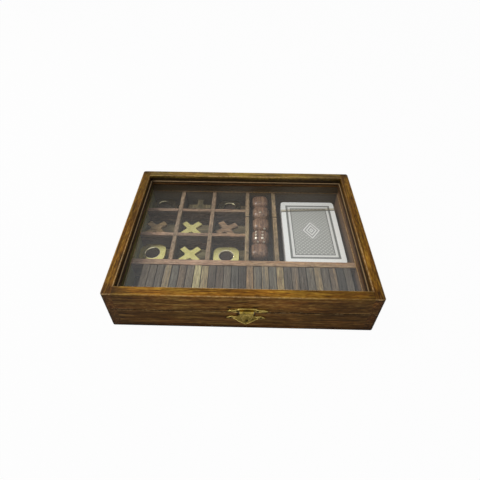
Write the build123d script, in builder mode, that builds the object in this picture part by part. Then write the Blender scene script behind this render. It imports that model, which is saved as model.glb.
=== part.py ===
"""Games compendium box: a glazed wooden case that holds a full set of small table games.

The frame is +X along the length, +Y towards the hinges and +Z up. The origin lies on the
underside, at the middle of the whole outline. All sizes are in millimetres.
"""

from build123d import *
import os
from math import cos, radians, sin

os.makedirs("parts", exist_ok=True)

# ---------------------------------------------------------------------------
# Driving dimensions
# ---------------------------------------------------------------------------
BOX_LENGTH = 230.0
BOX_DEPTH = 173.0
BOX_HEIGHT = 45.4
PARTING_HEIGHT = 24.6
PARTING_GAP = 0.2

BASE_BOARD = 9.2
LID_RAIL = 8.8
CORNER_RADIUS = 2.4
RIM_RADIUS = 1.0
FOOT_CHAMFER = 0.8
PARTING_CHAMFER = 0.4

FLOOR_THICKNESS = 3.5
FLOOR_REBATE = 4.6
FLOOR_PIN_RADIUS = 0.6
FLOOR_PIN_HEAD_RADIUS = 1.2
FLOOR_PIN_LENGTH = 12.0

GLASS_THICKNESS = 2.0
GLASS_TOP = 35.0
GLASS_PLAY = 0.1
GLASS_GROOVE = 3.0
GLASS_EDGE_GAP = 0.2
BEAD_WIDTH = 2.2
BEAD_HEIGHT = 3.6
BEAD_RADIUS = 1.0

DIVIDER_TOP = 24.0
DIVIDER_THICKNESS = 4.2
DIVIDER_EASING = 0.4
LONG_DIVIDER_FRONT = -34.2
LONG_DIVIDER_BACK = -27.8
GRID_DIVIDER_X = (-70.0, -34.5)
GRID_CROSS_Y = (45.0, 6.9)
DICE_WELL_LEFT_X = 3.2
DICE_WELL_RIGHT_X = 32.5
KERF_Y = 35.2
KERF_WIDTH = 0.8
KERF_DEPTH = 2.0

REST_HEIGHT = 10.0
NOUGHT_REST_RADIUS = 7.6
CROSS_REST_RADIUS = 4.2
REST_EASING = 0.5
COUNTER_THICKNESS = 3.0
COUNTER_EASING = 0.5
NOUGHT_LENGTH = 26.4
NOUGHT_DEPTH = 24.6
NOUGHT_RADIUS = 8.6
NOUGHT_HOLE_RADIUS = 6.9
CROSS_ARM_LENGTH = 25.2
CROSS_ARM_WIDTH = 6.6
CROSS_ARM_ANGLE = 45.0
CROSS_NOTCH_RADIUS = 2.0

DIE_SIZE = 18.8
DIE_RADIUS = 6.2
DICE = ((17.7, 67.5, 2.5), (18.0, 48.4, -2.0), (17.9, 29.3, 2.0), (17.0, 10.2, -1.5), (15.7, -8.9, 1.5))

DECK_LENGTH = 92.0
DECK_WIDTH = 59.2
DECK_RADIUS = 3.5
DECK_THICKNESS = 16.0
DECK_CENTRE_X = 70.7
DECK_CENTRE_Y = 20.4
DECK_TURN = 0.5
BAND_OFFSET = 31.0
BAND_TURN = 3.4
BAND_WIDTH = 1.2
BAND_THICKNESS = 0.12

DOMINO_COUNT = 28
DOMINO_GROUP = 4
DOMINO_PITCH = 6.95
DOMINO_THICKNESS = 6.8
DOMINO_LENGTH = 42.4
DOMINO_HEIGHT = 20.0
DOMINO_EASING = 0.45
DOMINO_ROW_START = -94.2

HARDWARE_THICKNESS = 0.8
KNUCKLE_RADIUS = 1.5
KNUCKLE_STANDOFF = 0.3
PIN_RADIUS = 0.58
PIN_HOLE_RADIUS = 0.64
PIN_HEAD_RADIUS = 1.0
PIN_HEAD_LENGTH = 0.5
KNUCKLE_GAP = 0.2
SWEEP_CLEARANCE = 0.3
NAIL_RADIUS = 0.6
NAIL_HEAD_RADIUS = 1.15
NAIL_HEAD_HEIGHT = 0.6
NAIL_DEPTH = 6.0

HINGE_X = (-68.0, 68.0)
HINGE_LENGTH = 22.0
HINGE_LEAF_HEIGHT = 12.4
HINGE_CORNER_RADIUS = 1.4
HINGE_NAIL_SPACING = 7.4
HINGE_NAIL_OUTER = 7.6
HINGE_NAIL_MIDDLE = 9.6

LATCH_X = 4.0
LATCH_PLATE_X = 4.7
LATCH_AXIS_Z = 26.4
HASP_KNUCKLE_HALF = 2.75
LATCH_BARREL_HALF = 5.9
LATCH_PLATE_NAIL = (8.4, 0.8)
KEEPER_X = 3.2
STUD_Z = 15.1
STUD_RADIUS = 1.2
STUD_REACH = 1.9
STUD_DEPTH = 5.0
KEEPER_NAIL = (12.9, 2.8)
HASP_END_RADIUS = 3.6
HASP_SLOT_HALF = 1.55
HASP_AIR_GAP = 0.4

# ---------------------------------------------------------------------------
# Sizes worked out from the driving dimensions
# ---------------------------------------------------------------------------
HALF_LENGTH = BOX_LENGTH / 2
HALF_DEPTH = BOX_DEPTH / 2
BASE_INNER_X = HALF_LENGTH - BASE_BOARD
BASE_INNER_Y = HALF_DEPTH - BASE_BOARD
LID_INNER_X = HALF_LENGTH - LID_RAIL
LID_INNER_Y = HALF_DEPTH - LID_RAIL
LID_BOTTOM = PARTING_HEIGHT + PARTING_GAP
GLASS_BOTTOM = GLASS_TOP - GLASS_THICKNESS
LAP_HEIGHT = (FLOOR_THICKNESS + DIVIDER_TOP) / 2
AXIS_REACH = HALF_DEPTH + KNUCKLE_STANDOFF + KNUCKLE_RADIUS
HINGE_AXIS_Z = PARTING_HEIGHT + PARTING_GAP / 2
SIDES = (("left", -1), ("right", 1))
ENDS = (("front", -1), ("back", 1))


def span_box(x_span, y_span, z_span, mode=Mode.ADD):
    """Add or cut a rectangular block between two limits on each axis."""
    low = [min(span) for span in (x_span, y_span, z_span)]
    size = [abs(span[1] - span[0]) for span in (x_span, y_span, z_span)]
    with Locations(tuple(low)):
        Box(*size, align=(Align.MIN, Align.MIN, Align.MIN), mode=mode)


def keep(piece, name):
    """Label a finished piece and write it to a STEP file of the same name."""
    piece.part.label = name
    export_step(piece.part, f"parts/{name}.step")


# ---------------------------------------------------------------------------
# Base: four boards around a rebated floor panel
# ---------------------------------------------------------------------------
for end_name, end in ENDS:
    with BuildPart() as end_board:
        span_box((-BASE_INNER_X, BASE_INNER_X), (end * BASE_INNER_Y, end * HALF_DEPTH), (0, PARTING_HEIGHT))
        rebate_y = (end * (BASE_INNER_Y - 1), end * (BASE_INNER_Y + FLOOR_REBATE))
        span_box((-BASE_INNER_X, BASE_INNER_X), rebate_y, (0, FLOOR_THICKNESS), Mode.SUBTRACT)
        foot_edges = end_board.edges().filter_by(Axis.X).group_by(Axis.Z)[0]
        chamfer(foot_edges.sort_by(Axis.Y, reverse=end > 0)[0], FOOT_CHAMFER)
        brim_edges = end_board.edges().filter_by(Axis.X).group_by(Axis.Z)[-1]
        chamfer(brim_edges.sort_by(Axis.Y, reverse=end > 0)[0], PARTING_CHAMFER)
    keep(end_board, f"base_{end_name}_board")

for side_name, side in SIDES:
    with BuildPart() as side_board:
        span_box((side * BASE_INNER_X, side * HALF_LENGTH), (-HALF_DEPTH, HALF_DEPTH), (0, PARTING_HEIGHT))
        corner_edges = side_board.edges().filter_by(Axis.Z).group_by(Axis.X)[0 if side < 0 else -1]
        fillet(corner_edges, CORNER_RADIUS)
        foot = side_board.faces().sort_by(Axis.Z)[0]
        chamfer(foot.edges().sort_by(Axis.X, reverse=side > 0)[:-1], FOOT_CHAMFER)
        brim = side_board.faces().sort_by(Axis.Z)[-1]
        chamfer(brim.edges().sort_by(Axis.X, reverse=side > 0)[:-1], PARTING_CHAMFER)
        rebate_x = (side * (BASE_INNER_X - 1), side * (BASE_INNER_X + FLOOR_REBATE))
        rebate_y = (-BASE_INNER_Y - FLOOR_REBATE, BASE_INNER_Y + FLOOR_REBATE)
        span_box(rebate_x, rebate_y, (0, FLOOR_THICKNESS), Mode.SUBTRACT)
    keep(side_board, f"base_{side_name}_board")

floor_half_x = BASE_INNER_X + FLOOR_REBATE
floor_half_y = BASE_INNER_Y + FLOOR_REBATE
with BuildPart() as base_floor_panel:
    span_box((-floor_half_x, floor_half_x), (-floor_half_y, floor_half_y), (0, FLOOR_THICKNESS))
keep(base_floor_panel, "base_floor_panel")

pin_line_x = BASE_INNER_X + FLOOR_REBATE / 2
pin_line_y = BASE_INNER_Y + FLOOR_REBATE / 2
floor_pin_points = [(x, y) for x in (-pin_line_x, pin_line_x) for y in (-50.0, 0.0, 50.0)]
floor_pin_points += [(x, y) for x in (-75.0, -25.0, 25.0, 75.0) for y in (-pin_line_y, pin_line_y)]
with BuildPart() as base_floor_pins:
    with BuildSketch(Plane.XY):
        with Locations(*floor_pin_points):
            Circle(FLOOR_PIN_HEAD_RADIUS)
    extrude(amount=FLOOR_PIN_HEAD_RADIUS / 2)
    with BuildSketch(Plane.XY):
        with Locations(*floor_pin_points):
            Circle(FLOOR_PIN_RADIUS)
    extrude(amount=FLOOR_PIN_LENGTH)
keep(base_floor_pins, "base_floor_pins")

# ---------------------------------------------------------------------------
# Dividers: strips standing on the floor, lapped where they cross
# ---------------------------------------------------------------------------
half_strip = DIVIDER_THICKNESS / 2


def strip(x_span, y_span, along):
    """Add a divider strip with eased top edges; along is the axis that it runs in."""
    span_box(x_span, y_span, (FLOOR_THICKNESS, DIVIDER_TOP))
    chamfer(edges().filter_by(along).group_by(Axis.Z)[-1], DIVIDER_EASING)


with BuildPart() as divider_long_front:
    strip((-BASE_INNER_X, BASE_INNER_X), (LONG_DIVIDER_FRONT, LONG_DIVIDER_BACK), Axis.X)
keep(divider_long_front, "divider_long_front")

for grid_name, grid_x in zip(("left", "right"), GRID_DIVIDER_X):
    with BuildPart() as grid_strip:
        strip((grid_x - half_strip, grid_x + half_strip), (LONG_DIVIDER_BACK, BASE_INNER_Y), Axis.Y)
        for cross_y in GRID_CROSS_Y:
            lap_x = (grid_x - half_strip, grid_x + half_strip)
            lap_y = (cross_y - half_strip, cross_y + half_strip)
            span_box(lap_x, lap_y, (FLOOR_THICKNESS, LAP_HEIGHT), Mode.SUBTRACT)
    keep(grid_strip, f"divider_grid_{grid_name}")

grid_end_x = DICE_WELL_LEFT_X - half_strip
for cross_name, cross_y in zip(("rear", "front"), GRID_CROSS_Y):
    with BuildPart() as cross_strip:
        strip((-BASE_INNER_X, grid_end_x), (cross_y - half_strip, cross_y + half_strip), Axis.X)
        for grid_x in GRID_DIVIDER_X:
            lap_x = (grid_x - half_strip, grid_x + half_strip)
            lap_y = (cross_y - half_strip, cross_y + half_strip)
            span_box(lap_x, lap_y, (LAP_HEIGHT, DIVIDER_TOP), Mode.SUBTRACT)
    keep(cross_strip, f"divider_grid_cross_{cross_name}")

for well_name, well_x in (("left", DICE_WELL_LEFT_X), ("right", DICE_WELL_RIGHT_X)):
    with BuildPart() as well_strip:
        strip((well_x - half_strip, well_x + half_strip), (LONG_DIVIDER_BACK, BASE_INNER_Y), Axis.Y)
        kerf_x = (well_x - half_strip, well_x + half_strip)
        kerf_y = (KERF_Y - KERF_WIDTH / 2, KERF_Y + KERF_WIDTH / 2)
        span_box(kerf_x, kerf_y, (DIVIDER_TOP - KERF_DEPTH, DIVIDER_TOP), Mode.SUBTRACT)
    keep(well_strip, f"divider_dice_{well_name}")

# ---------------------------------------------------------------------------
# Noughts and crosses: a counter on a round wooden rest in each cell of the grid
# ---------------------------------------------------------------------------
NOUGHTS = {
    "rear_left": (-91.8, 61.2),
    "rear_right": (-17.1, 59.9),
    "front_left": (-90.9, -13.0),
    "front_right": (-17.2, -15.3),
}
CROSSES = {
    "rear_middle": (-50.8, 60.1, 45.0),
    "middle_left": (-94.3, 23.1, 0.0),
    "middle_centre": (-56.4, 23.7, 0.0),
    "middle_right": (-18.6, 24.3, -12.0),
    "front_middle": (-53.4, -14.2, 0.0),
}
rest_top = FLOOR_THICKNESS + REST_HEIGHT

with BuildPart() as counter_rests:
    with BuildSketch(Plane.XY.offset(FLOOR_THICKNESS)):
        with Locations(*NOUGHTS.values()):
            Circle(NOUGHT_REST_RADIUS)
        with Locations(*[(cross_x, cross_y) for cross_x, cross_y, _ in CROSSES.values()]):
            Circle(CROSS_REST_RADIUS)
    extrude(amount=REST_HEIGHT)
    chamfer(counter_rests.edges().group_by(Axis.Z)[-1], REST_EASING)
keep(counter_rests, "counter_rests")

for place, (nought_x, nought_y) in NOUGHTS.items():
    with BuildPart() as nought:
        with BuildSketch(Plane.XY.offset(rest_top)):
            with Locations((nought_x, nought_y)):
                RectangleRounded(NOUGHT_LENGTH, NOUGHT_DEPTH, NOUGHT_RADIUS)
                Circle(NOUGHT_HOLE_RADIUS, mode=Mode.SUBTRACT)
        extrude(amount=COUNTER_THICKNESS)
        chamfer(nought.faces().sort_by(Axis.Z)[-1].edges(), COUNTER_EASING)
    keep(nought, f"nought_{place}")

for place, (cross_x, cross_y, turn) in CROSSES.items():
    with BuildPart() as cross:
        with BuildSketch(Plane.XY.offset(rest_top)) as outline:
            with Locations((cross_x, cross_y)):
                Rectangle(CROSS_ARM_LENGTH, CROSS_ARM_WIDTH, rotation=turn + CROSS_ARM_ANGLE)
                Rectangle(CROSS_ARM_LENGTH, CROSS_ARM_WIDTH, rotation=turn - CROSS_ARM_ANGLE)
            notches = outline.vertices().sort_by_distance((cross_x, cross_y, rest_top))[:4]
            fillet(notches, CROSS_NOTCH_RADIUS)
        extrude(amount=COUNTER_THICKNESS)
        chamfer(cross.faces().sort_by(Axis.Z)[-1].edges(), COUNTER_EASING)
    keep(cross, f"cross_{place}")

# ---------------------------------------------------------------------------
# Dice: five large cubes in a row, rounded like pebbles
# ---------------------------------------------------------------------------
for number, (die_x, die_y, turn) in enumerate(DICE, start=1):
    with BuildPart() as die:
        with Locations(Location((die_x, die_y, FLOOR_THICKNESS), (0, 0, turn))):
            Box(DIE_SIZE, DIE_SIZE, DIE_SIZE, align=(Align.CENTER, Align.CENTER, Align.MIN))
        fillet(die.edges(), DIE_RADIUS)
    keep(die, f"die_{number}")

# ---------------------------------------------------------------------------
# Playing cards: one wrapped deck and the tear band of its wrapper
# ---------------------------------------------------------------------------
deck_place = Location((DECK_CENTRE_X, DECK_CENTRE_Y, FLOOR_THICKNESS), (0, 0, DECK_TURN))
with BuildPart() as card_deck:
    with BuildSketch(Plane(deck_place)):
        RectangleRounded(DECK_WIDTH, DECK_LENGTH, DECK_RADIUS)
    extrude(amount=DECK_THICKNESS)
keep(card_deck, "card_deck")

band_place = deck_place * Location((0, BAND_OFFSET, 0), (0, 0, BAND_TURN))
above_floor = (Align.CENTER, Align.CENTER, Align.MIN)
wrap_width = DECK_WIDTH + 2 * BAND_THICKNESS
with BuildPart() as deck_tear_band:
    with Locations(deck_place):
        Box(wrap_width, DECK_LENGTH, DECK_THICKNESS + BAND_THICKNESS, align=above_floor)
    with Locations(band_place):
        Box(2 * wrap_width, BAND_WIDTH, 2 * DECK_THICKNESS, align=above_floor, mode=Mode.INTERSECT)
    with Locations(deck_place):
        Box(DECK_WIDTH, DECK_LENGTH, DECK_THICKNESS, align=above_floor, mode=Mode.SUBTRACT)
keep(deck_tear_band, "deck_tear_band")

# ---------------------------------------------------------------------------
# Dominoes: tiles on their long edges, side by side along the front
# ---------------------------------------------------------------------------
domino_middle_y = (LONG_DIVIDER_FRONT - BASE_INNER_Y) / 2
domino_shift = (0.15, -0.25, 0.3, -0.1, -0.3, 0.2, 0.0)
for group in range(DOMINO_COUNT // DOMINO_GROUP):
    with BuildPart() as dominoes:
        for place in range(DOMINO_GROUP):
            index = group * DOMINO_GROUP + place
            tile_x = DOMINO_ROW_START + (index + 0.5) * DOMINO_PITCH
            tile_y = domino_middle_y + domino_shift[index % len(domino_shift)]
            with Locations((tile_x, tile_y, FLOOR_THICKNESS)):
                Box(
                    DOMINO_THICKNESS,
                    DOMINO_LENGTH,
                    DOMINO_HEIGHT,
                    align=(Align.CENTER, Align.CENTER, Align.MIN),
                )
        chamfer(dominoes.edges().group_by(Axis.Z)[-1], DOMINO_EASING)
    keep(dominoes, f"dominoes_{group + 1}")

# ---------------------------------------------------------------------------
# Lid: four grooved rails around a glass pane, with a bead on top of the glass
# ---------------------------------------------------------------------------
groove_z = (GLASS_BOTTOM, GLASS_TOP + GLASS_PLAY)
groove_half_y = LID_INNER_Y + GLASS_GROOVE

for end_name, end in ENDS:
    with BuildPart() as end_rail:
        rail_y = (end * LID_INNER_Y, end * HALF_DEPTH)
        span_box((-LID_INNER_X, LID_INNER_X), rail_y, (LID_BOTTOM, BOX_HEIGHT))
        rim_edges = end_rail.edges().filter_by(Axis.X).group_by(Axis.Z)[-1].sort_by(Axis.Y, reverse=end > 0)
        fillet(rim_edges[0], RIM_RADIUS)
        fillet(rim_edges[1], RIM_RADIUS / 2)
        lower_edges = end_rail.edges().filter_by(Axis.X).group_by(Axis.Z)[0]
        chamfer(lower_edges.sort_by(Axis.Y, reverse=end > 0)[0], PARTING_CHAMFER)
        groove_y = (end * (LID_INNER_Y - 1), end * groove_half_y)
        span_box((-LID_INNER_X, LID_INNER_X), groove_y, groove_z, Mode.SUBTRACT)
    keep(end_rail, f"lid_{end_name}_rail")

for side_name, side in SIDES:
    with BuildPart() as side_rail:
        rail_x = (side * LID_INNER_X, side * HALF_LENGTH)
        span_box(rail_x, (-HALF_DEPTH, HALF_DEPTH), (LID_BOTTOM, BOX_HEIGHT))
        corner_edges = side_rail.edges().filter_by(Axis.Z).group_by(Axis.X)[0 if side < 0 else -1]
        fillet(corner_edges, CORNER_RADIUS)
        rim = side_rail.faces().sort_by(Axis.Z)[-1]
        fillet(rim.edges().sort_by(Axis.X, reverse=side > 0)[:-1], RIM_RADIUS)
        lower_face = side_rail.faces().sort_by(Axis.Z)[0]
        chamfer(lower_face.edges().sort_by(Axis.X, reverse=side > 0)[:-1], PARTING_CHAMFER)
        groove_x = (side * (LID_INNER_X - 1), side * (LID_INNER_X + GLASS_GROOVE))
        span_box(groove_x, (-groove_half_y, groove_half_y), groove_z, Mode.SUBTRACT)
    keep(side_rail, f"lid_{side_name}_rail")

pane_half_x = LID_INNER_X + GLASS_GROOVE - GLASS_EDGE_GAP
pane_half_y = LID_INNER_Y + GLASS_GROOVE - GLASS_EDGE_GAP
with BuildPart() as lid_glass:
    span_box((-pane_half_x, pane_half_x), (-pane_half_y, pane_half_y), (GLASS_BOTTOM, GLASS_TOP))
keep(lid_glass, "lid_glass")

quarter_signs = ((-1, -1), (1, -1), (1, 1), (-1, 1))
bead_outer = [(sx * LID_INNER_X, sy * LID_INNER_Y) for sx, sy in quarter_signs]
bead_inner = [(sx * (LID_INNER_X - BEAD_WIDTH), sy * (LID_INNER_Y - BEAD_WIDTH)) for sx, sy in quarter_signs]
for index, bead_name in enumerate(("front", "right", "back", "left")):
    following = (index + 1) % len(quarter_signs)
    with BuildPart() as bead:
        with BuildSketch(Plane.XY.offset(GLASS_TOP)):
            with BuildLine():
                Polyline(
                    bead_outer[index],
                    bead_outer[following],
                    bead_inner[following],
                    bead_inner[index],
                    close=True,
                )
            make_face()
        extrude(amount=BEAD_HEIGHT)
        bead_top_edges = bead.faces().sort_by(Axis.Z)[-1].edges()
        fillet(bead_top_edges.sort_by_distance((0, 0, GLASS_TOP + BEAD_HEIGHT))[0], BEAD_RADIUS)
    keep(bead, f"glass_bead_{bead_name}")

# ---------------------------------------------------------------------------
# Brass hardware shared by the hinges and the latch
# ---------------------------------------------------------------------------


def barrel(x_spans, axis_y, axis_z, radius, mode=Mode.ADD):
    """Add or cut round lengths that share one axis along X."""
    for x_low, x_high in x_spans:
        with BuildSketch(Plane.YZ.offset(x_low)) as section:
            with Locations((axis_y, axis_z)):
                Circle(radius)
        extrude(section.sketch, amount=x_high - x_low, mode=mode)


def round_nails(points, face_reach, outward):
    """Add round-headed nails that stand on a plate; outward is -1 at the front and 1 at the back."""
    face = Plane(origin=(0, outward * face_reach, 0), x_dir=(1, 0, 0), z_dir=(0, -1, 0))
    with BuildSketch(face) as heads:
        with Locations(*points):
            Circle(NAIL_HEAD_RADIUS)
    extrude(heads.sketch, amount=-outward * NAIL_HEAD_HEIGHT)
    rim_circles = edges().filter_by(GeomType.CIRCLE).group_by(Axis.Y)[0 if outward < 0 else -1]
    fillet(rim_circles, NAIL_HEAD_HEIGHT * 0.7)
    with BuildSketch(face) as shanks:
        with Locations(*points):
            Circle(NAIL_RADIUS)
    extrude(shanks.sketch, amount=outward * (NAIL_DEPTH + HARDWARE_THICKNESS))


def headed_pin(x_low, x_high, axis_y, axis_z):
    """Add a hinge pin with a small flat head at each end."""
    barrel([(x_low - PIN_HEAD_LENGTH, x_high + PIN_HEAD_LENGTH)], axis_y, axis_z, PIN_RADIUS)
    heads = [(x_low - PIN_HEAD_LENGTH, x_low), (x_high, x_high + PIN_HEAD_LENGTH)]
    barrel(heads, axis_y, axis_z, PIN_HEAD_RADIUS)


# ---------------------------------------------------------------------------
# Hinges: two butt hinges on the back, leaf below and leaf above the parting
# ---------------------------------------------------------------------------
plate_reach = HALF_DEPTH + HARDWARE_THICKNESS
hinge_half = HINGE_LENGTH / 2
knuckle_length = (HINGE_LENGTH - 2 * KNUCKLE_GAP) / 3
outer_knuckles = [(-hinge_half, knuckle_length - hinge_half), (hinge_half - knuckle_length, hinge_half)]
middle_knuckle = [(-knuckle_length / 2, knuckle_length / 2)]
clear_height = KNUCKLE_RADIUS + SWEEP_CLEARANCE


def hinge_leaf(centre_x, upward, knuckles):
    """Add one hinge leaf; upward is 1 for the lid's leaf and -1 for the base's leaf."""
    far_z = HINGE_AXIS_Z + upward * HINGE_LEAF_HEIGHT
    near_z = HINGE_AXIS_Z + upward * clear_height
    leaf_y = (HALF_DEPTH, plate_reach)
    span_box((centre_x - hinge_half, centre_x + hinge_half), leaf_y, (near_z, far_z))
    free_corners = edges().filter_by(Axis.Y).group_by(Axis.Z)[-1 if upward > 0 else 0]
    fillet(free_corners, HINGE_CORNER_RADIUS)
    spans = [(centre_x + low, centre_x + high) for low, high in knuckles]
    root_z = HINGE_AXIS_Z + upward * PARTING_GAP
    for span in spans:
        span_box(span, leaf_y, (root_z, near_z))
    barrel(spans, AXIS_REACH, HINGE_AXIS_Z, KNUCKLE_RADIUS)
    barrel(spans, AXIS_REACH, HINGE_AXIS_Z, PIN_HOLE_RADIUS, Mode.SUBTRACT)


def leaf_nail_points(upward):
    """Return the nail places of both hinges, on the leaf above or below the axis."""
    points = []
    for centre_x in HINGE_X:
        outer_z = HINGE_AXIS_Z + upward * HINGE_NAIL_OUTER
        points.append((centre_x - HINGE_NAIL_SPACING, outer_z))
        points.append((centre_x + HINGE_NAIL_SPACING, outer_z))
        points.append((centre_x, HINGE_AXIS_Z + upward * HINGE_NAIL_MIDDLE))
    return points


for hinge_name, hinge_x in zip(("left", "right"), HINGE_X):
    with BuildPart() as base_leaf:
        hinge_leaf(hinge_x, -1, outer_knuckles)
    keep(base_leaf, f"hinge_{hinge_name}_base_leaf")
    with BuildPart() as lid_leaf:
        hinge_leaf(hinge_x, 1, middle_knuckle)
    keep(lid_leaf, f"hinge_{hinge_name}_lid_leaf")

with BuildPart() as hinge_pins:
    for hinge_x in HINGE_X:
        headed_pin(hinge_x - hinge_half, hinge_x + hinge_half, AXIS_REACH, HINGE_AXIS_Z)
keep(hinge_pins, "hinge_pins")

with BuildPart() as hinge_base_nails:
    round_nails(leaf_nail_points(-1), plate_reach, 1)
keep(hinge_base_nails, "hinge_base_nails")

with BuildPart() as hinge_lid_nails:
    round_nails(leaf_nail_points(1), plate_reach, 1)
keep(hinge_lid_nails, "hinge_lid_nails")

# ---------------------------------------------------------------------------
# Latch: scrolled plate and hasp on the lid, shield keeper and stud on the base
# ---------------------------------------------------------------------------
latch_knuckles = [
    (LATCH_X - LATCH_BARREL_HALF, LATCH_X - HASP_KNUCKLE_HALF - KNUCKLE_GAP),
    (LATCH_X + HASP_KNUCKLE_HALF + KNUCKLE_GAP, LATCH_X + LATCH_BARREL_HALF),
]
hasp_knuckle = [(LATCH_X - HASP_KNUCKLE_HALF, LATCH_X + HASP_KNUCKLE_HALF)]

with BuildPart() as latch_plate:
    plate_origin = (LATCH_PLATE_X, -HALF_DEPTH, LATCH_AXIS_Z)
    with BuildSketch(Plane(origin=plate_origin, x_dir=(1, 0, 0), z_dir=(0, -1, 0))):
        with BuildLine():
            plate_top = Line((0, 4.3), (5.2, 4.3))
            plate_shoulder = ThreePointArc(plate_top @ 1, (7.4, 3.9), (9.4, 2.6))
            plate_waist = ThreePointArc(plate_shoulder @ 1, (11.2, 2.2), (12.8, 2.4))
            plate_tip = ThreePointArc(plate_waist @ 1, (15.6, 1.7), (17.6, 0.5))
            plate_curl = ThreePointArc(plate_tip @ 1, (15.2, -0.4), (12.8, -0.5))
            plate_heel = ThreePointArc(plate_curl @ 1, (9.6, -1.1), (6.6, -0.9))
            Line(plate_heel @ 1, (0, -0.9))
            mirror(about=Plane.YZ)
        make_face()
    extrude(amount=HARDWARE_THICKNESS)
    window_x = (LATCH_X - HASP_KNUCKLE_HALF - KNUCKLE_GAP, LATCH_X + HASP_KNUCKLE_HALF + KNUCKLE_GAP)
    window_z = (LID_BOTTOM, LATCH_AXIS_Z + clear_height)
    span_box(window_x, (-HALF_DEPTH, -plate_reach), window_z, Mode.SUBTRACT)
    barrel(latch_knuckles, -AXIS_REACH, LATCH_AXIS_Z, KNUCKLE_RADIUS)
    barrel(latch_knuckles, -AXIS_REACH, LATCH_AXIS_Z, PIN_HOLE_RADIUS, Mode.SUBTRACT)
keep(latch_plate, "latch_plate")

with BuildPart() as latch_pin:
    headed_pin(LATCH_X - LATCH_BARREL_HALF, LATCH_X + LATCH_BARREL_HALF, -AXIS_REACH, LATCH_AXIS_Z)
keep(latch_pin, "latch_pin")

with BuildPart() as latch_plate_nails:
    nail_z = LATCH_AXIS_Z + LATCH_PLATE_NAIL[1]
    nail_points = [(LATCH_PLATE_X + sign * LATCH_PLATE_NAIL[0], nail_z) for sign in (-1, 1)]
    round_nails(nail_points, plate_reach, -1)
keep(latch_plate_nails, "latch_plate_nails")

hasp_inner_reach = plate_reach + HASP_AIR_GAP
stud_drop = STUD_Z - LATCH_AXIS_Z
with BuildPart() as latch_hasp:
    hasp_plane = Plane(origin=(LATCH_X, -hasp_inner_reach, LATCH_AXIS_Z), x_dir=(1, 0, 0), z_dir=(0, -1, 0))
    with BuildSketch(hasp_plane):
        with BuildLine():
            neck_root = ((0, 0), (HASP_KNUCKLE_HALF, 0), (HASP_KNUCKLE_HALF, -2.0))
            neck = Polyline(*neck_root, (5.6, -2.0), (5.6, -3.3))
            flank = ThreePointArc(neck @ 1, (5.0, -6.6), (HASP_END_RADIUS, stud_drop + 1.0))
            cheek = Line(flank @ 1, (HASP_END_RADIUS, stud_drop))
            end_angle = radians(-45)
            end_middle = (HASP_END_RADIUS * cos(end_angle), stud_drop + HASP_END_RADIUS * sin(end_angle))
            ThreePointArc(cheek @ 1, end_middle, (0, stud_drop - HASP_END_RADIUS))
            mirror(about=Plane.YZ)
        make_face()
        with Locations((0, stud_drop)):
            Circle(HASP_SLOT_HALF, mode=Mode.SUBTRACT)
            slot_align = (Align.CENTER, Align.MAX)
            Rectangle(2 * HASP_SLOT_HALF, 2 * HASP_END_RADIUS, align=slot_align, mode=Mode.SUBTRACT)
    extrude(amount=HARDWARE_THICKNESS)
    barrel(hasp_knuckle, -AXIS_REACH, LATCH_AXIS_Z, KNUCKLE_RADIUS)
    barrel(hasp_knuckle, -AXIS_REACH, LATCH_AXIS_Z, PIN_HOLE_RADIUS, Mode.SUBTRACT)
keep(latch_hasp, "latch_hasp")

with BuildPart() as latch_keeper:
    with BuildSketch(Plane(origin=(KEEPER_X, -HALF_DEPTH, STUD_Z), x_dir=(1, 0, 0), z_dir=(0, -1, 0))):
        with BuildLine():
            keeper_top = Line((0, 6.2), (5.6, 6.2))
            keeper_scoop = ThreePointArc(keeper_top @ 1, (7.4, 4.4), (9.6, 4.3))
            keeper_wing = ThreePointArc(keeper_scoop @ 1, (12.6, 4.9), (14.4, 3.8))
            keeper_tip = Line(keeper_wing @ 1, (16.9, 1.9))
            keeper_curl = ThreePointArc(keeper_tip @ 1, (14.4, 1.2), (12.6, 1.2))
            keeper_heel = ThreePointArc(keeper_curl @ 1, (10.0, 0.6), (8.2, -0.8))
            keeper_shield = ThreePointArc(keeper_heel @ 1, (5.0, -4.4), (1.6, -6.6))
            Line(keeper_shield @ 1, (0, -8.7))
            mirror(about=Plane.YZ)
        make_face()
    extrude(amount=HARDWARE_THICKNESS)
keep(latch_keeper, "latch_keeper")

with BuildPart() as latch_keeper_nails:
    nail_z = STUD_Z + KEEPER_NAIL[1]
    nail_points = [(KEEPER_X + sign * KEEPER_NAIL[0], nail_z) for sign in (-1, 1)]
    round_nails(nail_points, plate_reach, -1)
keep(latch_keeper_nails, "latch_keeper_nails")

with BuildPart() as latch_stud:
    stud_plane = Plane(origin=(0, -plate_reach - STUD_REACH, 0), x_dir=(1, 0, 0), z_dir=(0, -1, 0))
    with BuildSketch(stud_plane):
        with Locations((LATCH_X, STUD_Z)):
            Circle(STUD_RADIUS)
    extrude(amount=-(STUD_REACH + HARDWARE_THICKNESS + STUD_DEPTH))
    fillet(latch_stud.edges().group_by(Axis.Y)[0], STUD_RADIUS / 3)
keep(latch_stud, "latch_stud")
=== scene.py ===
"""Games compendium: a glazed wooden case with noughts and crosses, dice, dominoes and playing cards.

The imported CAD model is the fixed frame. This script dresses its nodes, puts finer dice, dominoes and
cards in place of the plain ones, adds the relief on the latch, and sets the stage, lamp and camera.
Lengths in the classes are in millimetres in the CAD frame: X right, Y back, Z up, origin at the
middle of the underside. Meshes are built in metres.
"""

from __future__ import annotations

import logging
import math
import random
from dataclasses import dataclass, field
from enum import Enum
from typing import Any, Iterable, Mapping, Sequence, Union

import bmesh
import bpy
from mathutils import Matrix, Vector


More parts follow.
